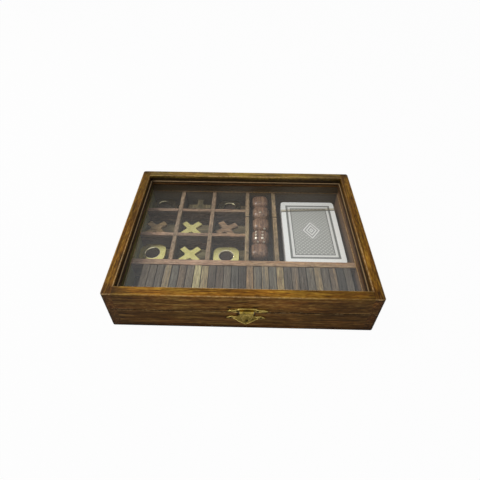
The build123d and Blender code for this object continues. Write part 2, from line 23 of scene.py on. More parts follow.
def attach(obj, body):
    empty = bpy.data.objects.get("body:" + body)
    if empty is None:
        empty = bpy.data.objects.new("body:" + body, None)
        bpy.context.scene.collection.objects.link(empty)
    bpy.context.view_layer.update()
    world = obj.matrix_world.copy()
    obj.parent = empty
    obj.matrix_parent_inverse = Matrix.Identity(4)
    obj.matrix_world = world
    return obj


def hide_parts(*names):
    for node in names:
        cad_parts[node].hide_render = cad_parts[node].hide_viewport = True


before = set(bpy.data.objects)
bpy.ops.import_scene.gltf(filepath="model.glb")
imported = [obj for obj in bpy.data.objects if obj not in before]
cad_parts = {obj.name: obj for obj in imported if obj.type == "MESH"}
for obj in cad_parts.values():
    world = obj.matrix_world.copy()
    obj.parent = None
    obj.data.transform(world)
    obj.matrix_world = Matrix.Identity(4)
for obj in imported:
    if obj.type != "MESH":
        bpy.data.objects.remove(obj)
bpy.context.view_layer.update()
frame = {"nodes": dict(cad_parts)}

MM = 0.001
LOG = logging.getLogger("compendium")

WHITE = (1, 1, 1, 1)
BLACK = (0.0, 0.0, 0.0, 1)
TILE_TRAITS = ("tone", "cut", "hue", "seam")

Colour = tuple[float, float, float, float]
Point = tuple[float, float, float]
Spot = tuple[float, float]
Operand = Union["Signal", float]
Setting = object


class Body(Enum):
    """The bodies of the case that pieces ride on."""

    BASE = "base"
    LID = "lid"
    HASP = "hasp"


class Grain(Enum):
    """Axis that the fibres of a board run along."""

    X = 0
    Y = 1


def colour(code: str) -> Colour:
    """Turn a hexadecimal screen colour into the linear colour that shaders take.

    Args:
        code: Six hexadecimal digits.

    Returns:
        Linear red, green and blue with full opacity.
    """
    screen = [int(code[i:i + 2], 16) / 255 for i in (0, 2, 4)]
    red, green, blue = (v / 12.92 if v <= 0.04045 else ((v + 0.055) / 1.055) ** 2.4 for v in screen)
    return red, green, blue, 1.0


# ---------------------------------------------------------------------------
# Shader expressions
# ---------------------------------------------------------------------------
class Signal:
    """One output socket of a node tree, with arithmetic that adds Math nodes."""

    def __init__(self, graph: NodeGraph, socket: bpy.types.NodeSocket) -> None:
        """Keep the graph that the socket belongs to, so that expressions can add to it."""
        self.graph = graph
        self.socket = socket

    def __add__(self, other: Operand) -> Signal:
        """Add another value."""
        return self.graph.math("ADD", self, other)

    def __radd__(self, other: Operand) -> Signal:
        """Add to a plain number."""
        return self.graph.math("ADD", other, self)

    def __sub__(self, other: Operand) -> Signal:
        """Take another value away."""
        return self.graph.math("SUBTRACT", self, other)

    def __rsub__(self, other: Operand) -> Signal:
        """Take this value from a plain number."""
        return self.graph.math("SUBTRACT", other, self)

    def __mul__(self, other: Operand) -> Signal:
        """Multiply by another value."""
        return self.graph.math("MULTIPLY", self, other)

    def __rmul__(self, other: Operand) -> Signal:
        """Multiply a plain number."""
        return self.graph.math("MULTIPLY", other, self)

    def __truediv__(self, other: Operand) -> Signal:
        """Divide by another value."""
        return self.graph.math("DIVIDE", self, other)

    def __pow__(self, other: Operand) -> Signal:
        """Raise to a power."""
        return self.graph.math("POWER", self, other)

    def __abs__(self) -> Signal:
        """Drop the sign."""
        return self.graph.math("ABSOLUTE", self)


class NodeGraph:
    """Builds one node tree, for a material or for the world."""

    def __init__(self, tree: bpy.types.NodeTree) -> None:
        """Start from an empty tree."""
        tree.nodes.clear()
        self.tree = tree

    def node(
        self,
        kind: str,
        settings: Mapping[str, Setting] | None = None,
        inputs: Mapping[Union[int, str], Setting] | None = None,
        output: Union[int, str] = 0,
    ) -> Signal:
        """Add a node: its settings go first, then the values or links of its sockets.

        Args:
            kind: The node's type.
            settings: Properties of the node; "stops" are the stops of a colour ramp.
            inputs: Values or links, by the socket's name or number.
            output: The output that the signal carries.

        Returns:
            The signal from the chosen output.
        """
        made = self.tree.nodes.new(kind)
        for name, value in (settings or {}).items():
            if name == "stops":
                self._set_stops(made.color_ramp, value)
            else:
                setattr(made, name, value)
        for name, value in (inputs or {}).items():
            if isinstance(value, Signal):
                self.tree.links.new(value.socket, made.inputs[name])
            else:
                made.inputs[name].default_value = value
        return Signal(self, made.outputs[output] if len(made.outputs) else None)

    @staticmethod
    def _set_stops(ramp: bpy.types.ColorRamp, stops: Sequence[tuple[float, Colour]]) -> None:
        """Give a colour ramp its stops, in order of position."""
        while len(ramp.elements) < len(stops):
            ramp.elements.new(1.0)
        for element, (position, tint) in zip(ramp.elements, stops):
            element.position = position
            element.color = tint

    def math(self, operation: str, *values: Operand) -> Signal:
        """Add a Math node.

        Args:
            operation: What the node works out.
            values: Its operands, signals or numbers.

        Returns:
            The result.
        """
        return self.node("ShaderNodeMath", {"operation": operation}, dict(enumerate(values)))

    def blend(self, factor: Operand, under: Setting, over: Setting, mode: str = "MIX") -> Signal:
        """Mix two colours.

        Args:
            factor: Share of the second colour.
            under: The first colour.
            over: The second colour.
            mode: Blending mode.

        Returns:
            The mixed colour.
        """
        settings = {"data_type": "RGBA", "blend_type": mode, "clamp_factor": True}
        return self.node("ShaderNodeMix", settings, {0: factor, 6: under, 7: over}, 2)

    def stain(self, factor: Operand, under: Signal, tint: Setting) -> Signal:
        """Multiply a colour by a tint, by a share of the surface."""
        return self.blend(factor, under, self.blend(1.0, under, tint, "MULTIPLY"))

    def shade(self, share: float, under: Signal, mask: Operand, low: Colour, high: Colour) -> Signal:
        """Multiply a colour by one that runs from low to high with a mask."""
        return self.blend(share, under, self.blend(mask, low, high), "MULTIPLY")

    def vector(self, operation: str, *values: Setting) -> Signal:
        """Add a Vector Math node and return its vector."""
        return self.node("ShaderNodeVectorMath", {"operation": operation}, dict(enumerate(values)))

    def place(self) -> Signal:
        """Return the point on the piece, in metres in the CAD frame."""
        return self.node("ShaderNodeTexCoord", output="Object")

    def axes(self, point: Signal) -> tuple[Signal, Signal, Signal]:
        """Split a point into its coordinates, in millimetres.

        Args:
            point: A point in metres.

        Returns:
            Its X, Y and Z.
        """
        scaled = self.vector("SCALE", point)
        scaled.socket.node.inputs["Scale"].default_value = 1 / MM
        split = self.node("ShaderNodeSeparateXYZ", inputs={0: scaled})
        outputs = split.socket.node.outputs
        return Signal(self, outputs[0]), Signal(self, outputs[1]), Signal(self, outputs[2])

    def noise(self, point: Signal, cell: Point, detail: float = 2.0, seed: float = 0.0) -> Signal:
        """Add a noise whose cells have the given sizes.

        Args:
            point: A point in metres.
            cell: Size of one cell along each axis, in millimetres.
            detail: Octaves of finer noise.
            seed: Moves the pattern, so that pieces differ.

        Returns:
            Noise around 0.5, from 0 to 1.
        """
        scaled = self.vector("MULTIPLY", point, tuple(1 / (MM * size) for size in cell))
        moved = self.vector("ADD", scaled, (seed * 7.31, seed * 3.77, seed * 5.13))
        inputs = {"Vector": moved, "Scale": 1.0, "Detail": detail, "Roughness": 0.55}
        return self.node("ShaderNodeTexNoise", {"noise_dimensions": "3D"}, inputs)

    def step(self, value: Operand, start: float, end: float) -> Signal:
        """Rise smoothly from 0 at start to 1 at end; start may be the larger."""
        inputs = {"Value": value, "From Min": start, "From Max": end}
        return self.node("ShaderNodeMapRange", {"interpolation_type": "SMOOTHSTEP"}, inputs)

    def ramp(self, value: Operand, stops: Sequence[tuple[float, Colour]]) -> Signal:
        """Colour a value by stops."""
        return self.node("ShaderNodeValToRGB", {"stops": stops}, {0: value})

    def bump(self, height: Signal, depth: float) -> Signal:
        """Return the normal of a surface with relief.

        Args:
            height: Height of the relief from 0 to 1.
            depth: Height in millimetres that 1 stands for.

        Returns:
            The bent normal.
        """
        inputs = {"Strength": 1.0, "Distance": depth * MM, "Height": height}
        return self.node("ShaderNodeBump", inputs=inputs, output="Normal")


@dataclass(frozen=True)
class Finish:
    """A finish that makes one material."""

    name: str

    def material(self) -> bpy.types.Material:
        """Make the material and paint it.

        Returns:
            The material.
        """
        made = bpy.data.materials.new(self.name)
        made.use_nodes = True
        graph = NodeGraph(made.node_tree)
        surface = self.paint(graph)
        graph.node("ShaderNodeOutputMaterial", inputs={"Surface": surface})
        return made

    def paint(self, graph: NodeGraph) -> Signal:
        """Build the nodes and return the shader; each finish has its own."""
        raise NotImplementedError

    @staticmethod
    def principled(graph: NodeGraph, inputs: Mapping[str, Setting]) -> Signal:
        """Add the shader that the finishes share."""
        return graph.node("ShaderNodeBsdfPrincipled", inputs=inputs, output="BSDF")


# ---------------------------------------------------------------------------
# Finishes
# ---------------------------------------------------------------------------
@dataclass(frozen=True)
class Timber(Finish):
    """Wood with figure, fibres, flecks and pores that run along one axis."""

    grain: Grain
    dark: str
    middle: str
    pale: str
    seed: float = 0.0
    band: float = 6.0
    fibre: float = 0.9
    depth: float = 0.12
    roughness: float = 0.5
    shine: float = 0.35
    coat: float = 0.0
    pores: float = 0.6
    fleck: float = 0.30
    patch: float = 0.5
    streak: float = 0.4

    def cell(self, along: float, across: float) -> Point:
        """Return the cell of a noise stretched along the fibres, in millimetres."""
        sizes = [across, across, across]
        sizes[self.grain.value] = along
        return sizes[0], sizes[1], sizes[2]

    def paint(self, graph: NodeGraph) -> Signal:
        """Build the wood and what lies on it."""
        place = graph.place()
        wander = (graph.noise(place, self.cell(95, 26), 1.0, self.seed) - 0.5) * (0.9 * self.band * MM)
        bent = graph.vector("ADD", place, wander)
        figure = graph.noise(bent, self.cell(50, self.band), 3.0, self.seed + 1)
        fibres = graph.noise(bent, self.cell(13, self.fibre), 2.0, self.seed + 2)
        flecks = graph.noise(bent, self.cell(5.0, 0.9), 2.0, self.seed + 4)
        vessels = graph.noise(bent, self.cell(5.0, 0.42), 1.0, self.seed + 3)
        dashes = graph.step(vessels, 0.60, 0.72) * self.pores
        stops = [(0.36, colour(self.dark)), (0.50, colour(self.middle)), (0.64, colour(self.pale))]
        share = 1 - self.fleck
        wood = graph.ramp(figure * (0.64 * share) + fibres * (0.36 * share) + flecks * self.fleck, stops)
        streaks = graph.step(fibres, 0.32, 0.66)
        wood = graph.shade(0.45, wood, streaks, (0.62, 0.58, 0.52, 1), (1.15, 1.14, 1.12, 1))
        wood = graph.stain(dashes, wood, (0.30, 0.26, 0.24, 1))
        clouds = graph.noise(bent, self.cell(46, 13), 3.0, self.seed + 8)
        warmth = graph.noise(bent, self.cell(30, 9), 2.0, self.seed + 9)
        light = [(0.30, (0.42, 0.40, 0.38, 1)), (0.50, (0.95, 0.95, 0.95, 1)), (0.70, (1.5, 1.5, 1.5, 1))]
        heat = [(0.34, (0.86, 0.98, 0.92, 1)), (0.50, WHITE), (0.66, (1.16, 0.96, 0.84, 1))]
        clouded = graph.blend(1.0, wood, graph.ramp(clouds, light), "MULTIPLY")
        wood = graph.blend(self.patch, wood, graph.blend(1.0, clouded, graph.ramp(warmth, heat), "MULTIPLY"))
        lines = graph.noise(bent, self.cell(16, 0.8), 1.0, self.seed + 10)
        rays = graph.step(lines, 0.60, 0.68) * self.streak
        wood = graph.stain(rays, wood, (0.34, 0.30, 0.26, 1))
        wood = self.aged(graph, wood, place)
        relief = streaks * 0.35 + flecks * 0.25 - dashes * 0.65
        polish = self.roughness + (fibres - 0.5) * 0.22 + dashes * 0.15
        inputs = {
            "Base Color": wood,
            "Roughness": polish,
            "Normal": graph.bump(relief, self.depth),
            "Specular IOR Level": self.shine,
            "Coat Weight": self.coat,
            "Coat Roughness": 0.22,
        }
        return self.principled(graph, inputs)

    def aged(self, graph: NodeGraph, wood: Signal, place: Signal) -> Signal:
        """Lay dirt, stain and wear over the wood; plain timber has none."""
        return wood


@dataclass(frozen=True)
class Survey:
    """Where a point lies on the case, in millimetres, and how uneven the wood is there."""

    x: Signal
    y: Signal
    z: Signal
    wide: Signal
    deep: Signal
    drop: Signal
    outer: Signal
    inner: Signal
    patchy: Signal
    mottled: Signal
    reach: Signal
    shell: Signal


@dataclass(frozen=True)
class CaseTimber(Timber):
    """Varnished wood of the case, with edges rubbed pale and painted with highlights, dark corners, bare inner faces,
    painted shade over the pane, on the side rails and round the latch, and painted light that falls off along each
    piece.
    """

    half_length: float = 115.0
    half_depth: float = 86.5
    inner_x: float = 106.2
    inner_y: float = 77.7
    top: float = 45.4
    bare_below: float = 34.0
    # Share of painted shade in the recess over the pane.
    recess_shade: float = 0.9
    parting: float = 24.7
    # Strength of the pale outer and inner top edges, part wear and part painted highlight.
    outer_wear_and_highlight: float = 0.75
    inner_wear_and_highlight: float = 0.55
    corner_stain: float = 0.0
    # Share of painted light: lighter in the middle of a piece, darker towards its ends.
    glow: float = 0.0
    of_lid: bool = False
    # Colour of the pale edges and lips, part wear and part painted highlight.
    worn_and_highlight: str = "D2AE78"
    bare: str = "6E614C"
    # Spots darkened as painted shadow round the latch, each as X, Z and reach across and up.
    grime_and_shade: tuple[tuple[float, float, float, float], ...] = ()

    def aged(self, graph: NodeGraph, wood: Signal, place: Signal) -> Signal:
        """Paint light that falls off along the piece, leave the inner faces bare with painted shade over the pane,
        paint shade on the side rails, rub the edges pale with painted highlight, mark the parting, stain the corners,
        darken the foot and paint shadows round the latch.
        """
        at = self._survey(graph, place)
        # Painted light and shade: the wood is lightened in the middle of the piece and darkened towards its ends.
        painted_falloff_tint = graph.blend(graph.step(at.reach, 22, 104), (1.24, 1.22, 1.16, 1), (0.76, 0.74, 0.72, 1))
        wood = graph.stain(self.glow, wood, painted_falloff_tint)
        wood = self._bare_inside(graph, wood, at)
        if self.corner_stain:
            wood = self._stain_corners(graph, wood, at)
        if self.of_lid:
            wood = graph.stain(graph.step(at.drop, -1.0, -2.4) * at.shell, wood, (1.14, 1.16, 2.4, 1))
        inner_wear_and_highlight: Operand = self.inner_wear_and_highlight
        if self.grain is Grain.Y:
            ends = graph.step(at.deep, self.half_depth - 1.4, self.half_depth - 0.4)
            wood = graph.stain(ends, wood, (0.70, 0.64, 0.66, 1))
            if self.of_lid:
                near = graph.step(at.y, 10, -60)
                # Painted highlight: the inner edge of a side rail of the lid is painted paler towards the front.
                inner_wear_and_highlight = near * (self.inner_wear_and_highlight * 0.7) + self.inner_wear_and_highlight * 0.3
                wood = self._shade_side_rail(graph, wood, at, near)
        wood = self._rub_and_highlight_edges(graph, wood, at, inner_wear_and_highlight)
        wood = self._mark_parting(graph, wood, at)
        return self._darken_low_and_shade_latch(graph, wood, at)

    def _survey(self, graph: NodeGraph, place: Signal) -> Survey:
        """Work out where the point lies against the faces of the case."""
        x, y, z = graph.axes(place)
        wide, deep = abs(x), abs(y)
        outer = graph.math("MAXIMUM", wide - self.half_length, deep - self.half_depth)
        inner = graph.math("MAXIMUM", wide - self.inner_x, deep - self.inner_y)
        patchy = graph.noise(place, (7, 7, 7), 3.0, self.seed + 5)
        mottled = graph.noise(place, (2.2, 2.2, 2.2), 2.0, self.seed + 6)
        reach = abs((x, y)[self.grain.value]) + (patchy - 0.5) * 40
        shell = graph.step(outer, -3.0, -0.5)
        return Survey(x, y, z, wide, deep, z - self.top, outer, inner, patchy, mottled, reach, shell)

    def _bare_inside(self, graph: NodeGraph, wood: Signal, at: Survey) -> Signal:
        """Show raw wood on the inner faces, and paint shade in the recess over the pane, darkest towards the pane."""
        walls = graph.step(at.inner, 0.35, 0.1)
        inside = walls * graph.step(at.z, self.bare_below + 0.4, self.bare_below - 0.4)
        raw = graph.blend(at.mottled * 0.6, colour(self.bare), (0.07, 0.06, 0.035, 1))
        wood = graph.blend(inside * graph.step(at.drop, -0.3, -0.9), wood, raw)
        recess = walls * graph.step(at.z, self.bare_below, self.bare_below + 1)
        # Painted shade: the inner faces above the pane run to near-black towards the pane.
        recess_shade_mask = recess * (self.recess_shade * graph.step(at.drop + (at.mottled - 0.5) * 3, -0.4, -4.5))
        return graph.blend(recess_shade_mask, wood, (0.012, 0.006, 0.002, 1))

    def _stain_corners(self, graph: NodeGraph, wood: Signal, at: Survey) -> Signal:
        """Darken the top at the corners, further in at the front ones."""
        front = graph.step(at.y, 20, -20)
        across = at.wide - (108.5 - front * 6.5 + (at.patchy - 0.5) * 9)
        along = at.deep - (80.5 - front * 4.0) + (at.mottled - 0.5) * 5
        spread = graph.step(across, -4.5, 4.0) * graph.step(along, -4.5, 3.0)
        stain = spread * graph.step(at.drop, -2.2, -0.9) * (self.corner_stain * (1 - front * 0.35))
        return graph.stain(stain, wood, (0.20, 0.15, 0.11, 1))

    def _shade_side_rail(self, graph: NodeGraph, wood: Signal, at: Survey, near: Signal) -> Signal:
        """Paint shade on a side rail along its inner edge, towards the back left and at the front right."""
        shade = graph.step(at.inner, 5.0, 1.0) * graph.step(at.drop, -1.2, -0.4) * (1 - near)
        wood = graph.stain(shade * 0.65, wood, (0.34, 0.27, 0.18, 1))
        wood = graph.blend(graph.step(at.x, 0, -50) * graph.step(at.y, -60, 60) * 0.26, wood, BLACK)
        dark = graph.step(at.x, 112.4, 114.0) * graph.step(at.y, 40, -50)
        return graph.stain(dark * 0.75, wood, (0.25, 0.20, 0.16, 1))

    def _rub_and_highlight_edges(self, graph: NodeGraph, wood: Signal, at: Survey, inner_wear_and_highlight: Operand) -> Signal:
        """Paint the two top edges pale in chips, part wear and part painted highlight, less towards the ends."""
        chips = 0.3 + graph.step(at.mottled, 0.40, 0.60) * 0.7
        for gap, strength, width in ((at.outer, self.outer_wear_and_highlight, 1.25), (at.inner, inner_wear_and_highlight, 1.2)):
            away = (gap * gap + at.drop * at.drop) ** 0.5 + (at.mottled - 0.5) * 1.2
            kept = 1 - self.glow * graph.step(at.reach, 20, 90) * 0.7
            wood = graph.blend(graph.step(away, width, 0.3) * chips * strength * kept, wood, colour(self.worn_and_highlight))
        return wood

    def _mark_parting(self, graph: NodeGraph, wood: Signal, at: Survey) -> Signal:
        """Draw the dark parting line with its rubbed lips, and darken the upright corners."""
        seam = abs(at.z - self.parting)
        lip = graph.step(seam, 0.5, 0.7) * graph.step(seam, 1.5, 0.9) * at.shell * graph.step(at.mottled, 0.45, 0.62)
        wood = graph.blend(lip * 0.45, wood, colour(self.worn_and_highlight))
        wood = graph.blend(graph.step(seam, 0.62, 0.40) * at.shell * 0.9, wood, (0.014, 0.007, 0.003, 1))
        edge_x, edge_y = at.wide - self.half_length, at.deep - self.half_depth
        arris = graph.step(edge_x, -3.6, -0.9) * graph.step(edge_y, -3.6, -0.9) * graph.step(at.drop, -0.6, -1.6)
        return graph.blend(arris * 0.75, wood, (0.020, 0.013, 0.008, 1))

    def _darken_low_and_shade_latch(self, graph: NodeGraph, wood: Signal, at: Survey) -> Signal:
        """Darken the lower part and the foot, and paint the shadows round the latch."""
        low = graph.step(at.z + (at.patchy - 0.5) * 8, 9.0, 1.0) * at.shell
        wood = graph.stain(low * 0.7, wood, (0.40, 0.34, 0.32, 1))
        for spot_x, spot_z, reach_x, reach_z in self.grime_and_shade:
            off_x, off_z = (at.x - spot_x) / reach_x, (at.z - spot_z) / reach_z
            near = (off_x * off_x + off_z * off_z) ** 0.5 + (at.mottled - 0.5) * 0.5
            # Painted shadow round the latch, on the front face only.
            darkening = graph.step(near, 1.0, 0.45) * graph.step(at.y, -86.0, -86.4) * 0.85
            wood = graph.blend(darkening, wood, (0.018, 0.007, 0.003, 1))
        foot = graph.step(at.z + (at.mottled - 0.5) * 1.5, 2.6, 0.6) * at.shell
        return graph.blend(foot * 0.95, wood, (0.010, 0.006, 0.004, 1))


@dataclass(frozen=True)
class BeadTimber(Timber):
    """Dark bead, darkened by a share towards near-black, with a painted highlight line along its top and painted shade
    beside it.
    """

    inner_x: float = 106.2
    inner_y: float = 77.7
    crest: float = 38.6
    # Strength of the painted highlight line along the crest.
    rub_and_highlight: float = 0.85
    # Share by which the whole bead is darkened towards near-black.
    stain: float = 0.35

    def aged(self, graph: NodeGraph, wood: Signal, place: Signal) -> Signal:
        """Paint a highlight line along the crest with painted shade beside it where the curve starts, and darken the
        whole bead by its share.
        """
        x, y, z = graph.axes(place)
        away = graph.math("MINIMUM", self.inner_x - abs(x), self.inner_y - abs(y))
        mottled = graph.noise(place, (2.4, 2.4, 2.4), 3.0, self.seed + 5)
        off = abs(away - 0.8) + (mottled - 0.5) * 0.5
        # Painted highlight along the crest.
        line = graph.step(off, 0.70, 0.25) * graph.step(z, self.crest - 0.6, self.crest - 0.1)
        wood = graph.blend(self.stain, wood, (0.022, 0.011, 0.004, 1))
        # Painted shade beside the crest, where the curve starts.
        shade = graph.step(away, 1.1, 1.5) * graph.step(z, self.crest - 1.7, self.crest - 0.9)
        wood = graph.blend(shade * 0.85, wood, (0.018, 0.009, 0.003, 1))
        return graph.blend(line * self.rub_and_highlight, wood, colour("CFB286"))


@dataclass(frozen=True)
class DividerTimber(Timber):
    """Bare wood of the dividers: rubbed tops, sides darkened as painted shade, darker towards the foot, and a dark
    line in the saw kerfs.
    """

    top: float = 24.0
    foot: float = 3.5
    # Share of painted shade on the sides.
    side_shade: float = 0.7
    kerf_y: float | None = None

    def aged(self, graph: NodeGraph, wood: Signal, place: Signal) -> Signal:
        """Rub the top pale, paint shade on the sides, and darken the foot and the kerf."""
        x, y, z = graph.axes(place)
        mottled = graph.noise(place, (3.0, 3.0, 3.0), 3.0, self.seed + 7)
        cast = graph.blend(graph.step(x + (mottled - 0.5) * 30, -45, 25), (1.03, 0.99, 1.0, 1), (1.02, 1.0, 0.78, 1))
        wood = graph.blend(1.0, wood, cast, "MULTIPLY")
        # Painted shade: the sides are darker than the tops.
        sides = graph.step(z, self.top - 0.5, self.top - 1.1) * (self.side_shade + mottled * 0.4)
        wood = graph.stain(sides, wood, (0.42, 0.40, 0.37, 1))
        grime_and_shade = graph.step(z - self.foot + (mottled - 0.5) * 4, 4.0, 0.0) * 0.55
        wood = graph.blend(grime_and_shade, wood, (0.030, 0.024, 0.018, 1))
        rub_and_highlight = graph.step(z, self.top - 0.9, self.top - 0.1) * graph.step(mottled, 0.35, 0.70) * 0.35
        wood = graph.blend(rub_and_highlight, wood, colour("BFA387"))
        if self.kerf_y is None:
            return wood
        darkening = graph.step(abs(y - self.kerf_y), 0.85, 0.45)
        return graph.blend(darkening * 0.9, wood, (0.020, 0.014, 0.010, 1))


@dataclass(frozen=True)
class FloorPly(Timber):
    """Plywood floor: pale under the grid, darkened under the wells as painted shade."""

    grid_end: float = 1.1
    grid_front: float = -31.0

    def aged(self, graph: NodeGraph, wood: Signal, place: Signal) -> Signal:
        """Paint shade over the wells and darken the underside."""
        x, y, z = graph.axes(place)
        mottled = graph.noise(place, (4.0, 4.0, 4.0), 3.0, self.seed + 7)
        bare = graph.step(x, self.grid_end + 1, self.grid_end) * graph.step(y, self.grid_front - 1, self.grid_front)
        # Painted shade: all but the top of the floor under the grid is darkened.
        stain = 1 - bare * graph.step(z, 2.6, 3.2)
        return graph.blend(stain * (0.8 + mottled * 0.2), wood, (0.052, 0.038, 0.026, 1))


@dataclass(frozen=True)
class TileTimber(Timber):
    """Wood of the dominoes, whose tone each tile carries with it."""

    def paint(self, graph: NodeGraph) -> Signal:
        """Build the wood from the tone and the cut of the tile."""
        place = graph.place()
        tone, cut, hue, seam = (
            graph.node("ShaderNodeAttribute", {"attribute_name": trait}, output="Fac") for trait in TILE_TRAITS
        )
        moved = graph.vector("ADD", place, cut)
        figure = graph.noise(moved, self.cell(30, 1.8), 3.0, self.seed)
        fibres = graph.noise(moved, self.cell(9, 0.5), 2.0, self.seed + 1)
        vessels = graph.noise(moved, self.cell(4.0, 0.4), 1.0, self.seed + 2)
        dashes = graph.step(vessels, 0.56, 0.68) * self.pores
        stops = [
            (0.0, colour("2E2722")), (0.28, colour(self.dark)), (0.5, colour(self.middle)),
            (0.75, colour("9C8460")), (1.0, colour(self.pale)),
        ]
        wood = graph.ramp(tone + (figure - 0.5) * 0.75, stops)
        wood = graph.shade(1.0, wood, hue, (0.88, 1.00, 1.08, 1), (1.09, 0.98, 0.88, 1))
        streaks = graph.step(fibres, 0.36, 0.62)
        wood = graph.shade(0.75, wood, streaks, (0.45, 0.44, 0.43, 1), (1.28, 1.27, 1.25, 1))
        wood = graph.stain(dashes, wood, (0.32, 0.30, 0.28, 1))
        # Painted shade on the faces that look at the next tile, in the grooves between tiles.
        wood = graph.blend(seam * 0.85, wood, (0.012, 0.009, 0.007, 1))
        inputs = {
            "Base Color": wood,
            "Roughness": self.roughness + (fibres - 0.5) * 0.2,
            "Normal": graph.bump(streaks * 0.4 - dashes * 0.6, self.depth),
            "Specular IOR Level": 0.3,
        }
        return self.principled(graph, inputs)


@dataclass(frozen=True)
class Brass(Finish):
    """Brass sheet or bar, brushed along one axis and tarnished in patches."""

    bright: str
    tarnish: str
    cell: Point = (9.0, 0.35, 3.0)
    roughness: float = 0.38
    metal: float = 0.9
    tarnished: float = 0.5
    seed: float = 0.0

    def paint(self, graph: NodeGraph) -> Signal:
        """Build the metal, its brush marks and its tarnish."""
        place = graph.place()
        marks = graph.noise(place, self.cell, 2.0, self.seed)
        patches = graph.noise(place, (5.5, 5.5, 5.5), 4.0, self.seed + 1)
        specks = graph.noise(place, (0.9, 0.9, 0.9), 2.0, self.seed + 2)
        dull = graph.step(patches * 0.7 + specks * 0.3, 0.42, 0.66) * self.tarnished
        tint = graph.blend(dull, colour(self.bright), colour(self.tarnish))
        tint = graph.shade(0.35, tint, marks, (0.70, 0.69, 0.66, 1), (1.15, 1.15, 1.15, 1))
        tint, rise = self.shaped(graph, tint, place)
        inputs = {
            "Base Color": tint,
            "Metallic": self.metal,
            "Roughness": self.roughness + dull * 0.25 + (marks - 0.5) * 0.18,
            "Normal": graph.bump((marks * 0.5 + specks * 0.5) * 0.035 + rise, 1.0),
        }
        return self.principled(graph, inputs)

    def shaped(self, graph: NodeGraph, tint: Signal, place: Signal) -> tuple[Signal, Signal | float]:
        """Return the colour and the rise of the face, in millimetres; flat metal has none."""
        return tint, 0.0


@dataclass(frozen=True)
class RingBrass(Brass):
    """Brass of one nought: its face a little domed, a highlight painted round the lip of its hole."""

    centre_x: float = 0.0
    centre_y: float = 0.0
    hole: float = 6.9
    dome: float = 0.0045
    # Strength of the painted highlight round the lip.
    lip_highlight: float = 0.8

    def shaped(self, graph: NodeGraph, tint: Signal, place: Signal) -> tuple[Signal, Signal | float]:
        """Dome the face about the middle of the ring and paint a highlight on the lip."""
        x, y, _ = graph.axes(place)
        east, north = x - self.centre_x, y - self.centre_y
        square = east * east + north * north
        lip = graph.step(abs(square ** 0.5 - (self.hole + 0.35)), 0.7, 0.3)
        return graph.blend(lip * self.lip_highlight, tint, colour("FFF8DC")), square * -self.dome


@dataclass(frozen=True)
class Steel(Finish):
    """Plain steel of pins and panel tacks."""

    def paint(self, graph: NodeGraph) -> Signal:
        """Build grey metal with a film of rust."""
        place = graph.place()
        specks = graph.noise(place, (0.8, 0.8, 0.8), 3.0)
        rust = graph.step(specks, 0.50, 0.72)
        inputs = {
            "Base Color": graph.blend(rust, colour("8E8C88"), colour("6B4A33")),
            "Metallic": 1.0 - rust * 0.7,
            "Roughness": 0.34 + rust * 0.4,
            "Normal": graph.bump(specks, 0.03),
        }
        return self.principled(graph, inputs)


@dataclass(frozen=True)
class PaneGlass(Finish):
    """Clear window glass with a light film of dust."""

    dust: float = 0.012

    def paint(self, graph: NodeGraph) -> Signal:
        """Mix what passes through the pane with what it mirrors."""
        place = graph.place()
        smears = graph.noise(place, (38, 24, 40), 4.0, 4.0)
        film = graph.step(smears, 0.35, 0.75) * self.dust
        facing = graph.node("ShaderNodeLayerWeight", inputs={"Blend": 0.5}, output="Facing")
        mirrored = 0.042 + 0.958 * facing ** 5
        clear = graph.node("ShaderNodeBsdfTransparent", inputs={"Color": WHITE})
        gloss = graph.node("ShaderNodeBsdfAnisotropic", inputs={"Color": WHITE, "Roughness": 0.03})
        veil = graph.node("ShaderNodeBsdfDiffuse", inputs={"Color": (0.75, 0.76, 0.78, 1)})
        pane = graph.node("ShaderNodeMixShader", inputs={0: mirrored, 1: clear, 2: gloss})
        return graph.node("ShaderNodeMixShader", inputs={0: film, 1: pane, 2: veil})


@dataclass(frozen=True)
class CardStock(Finish):
    """Edges of the stacked cards: white board with the fine lines between them."""

    pitch: float
    foot: float

    def paint(self, graph: NodeGraph) -> Signal:
        """Build paper with a darker line at each card."""
        place = graph.place()
        z = graph.axes(place)[2]
        phase = graph.math("FRACT", (z - self.foot) / self.pitch)
        line = graph.step(abs(phase - 0.5), 0.30, 0.5)
        grime_and_shade = graph.noise(place, (16, 16, 1.1), 3.0)
        paper = graph.blend(graph.step(grime_and_shade, 0.42, 0.72) * 0.5, colour("FDFCF8"), colour("E4E0D4"))
        inputs = {
            "Base Color": graph.blend(line * 0.25, paper, colour("A8A69E")),
            "Roughness": 0.55 + (grime_and_shade - 0.5) * 0.2,
            "Normal": graph.bump(1 - line, 0.05),
        }
        return self.principled(graph, inputs)


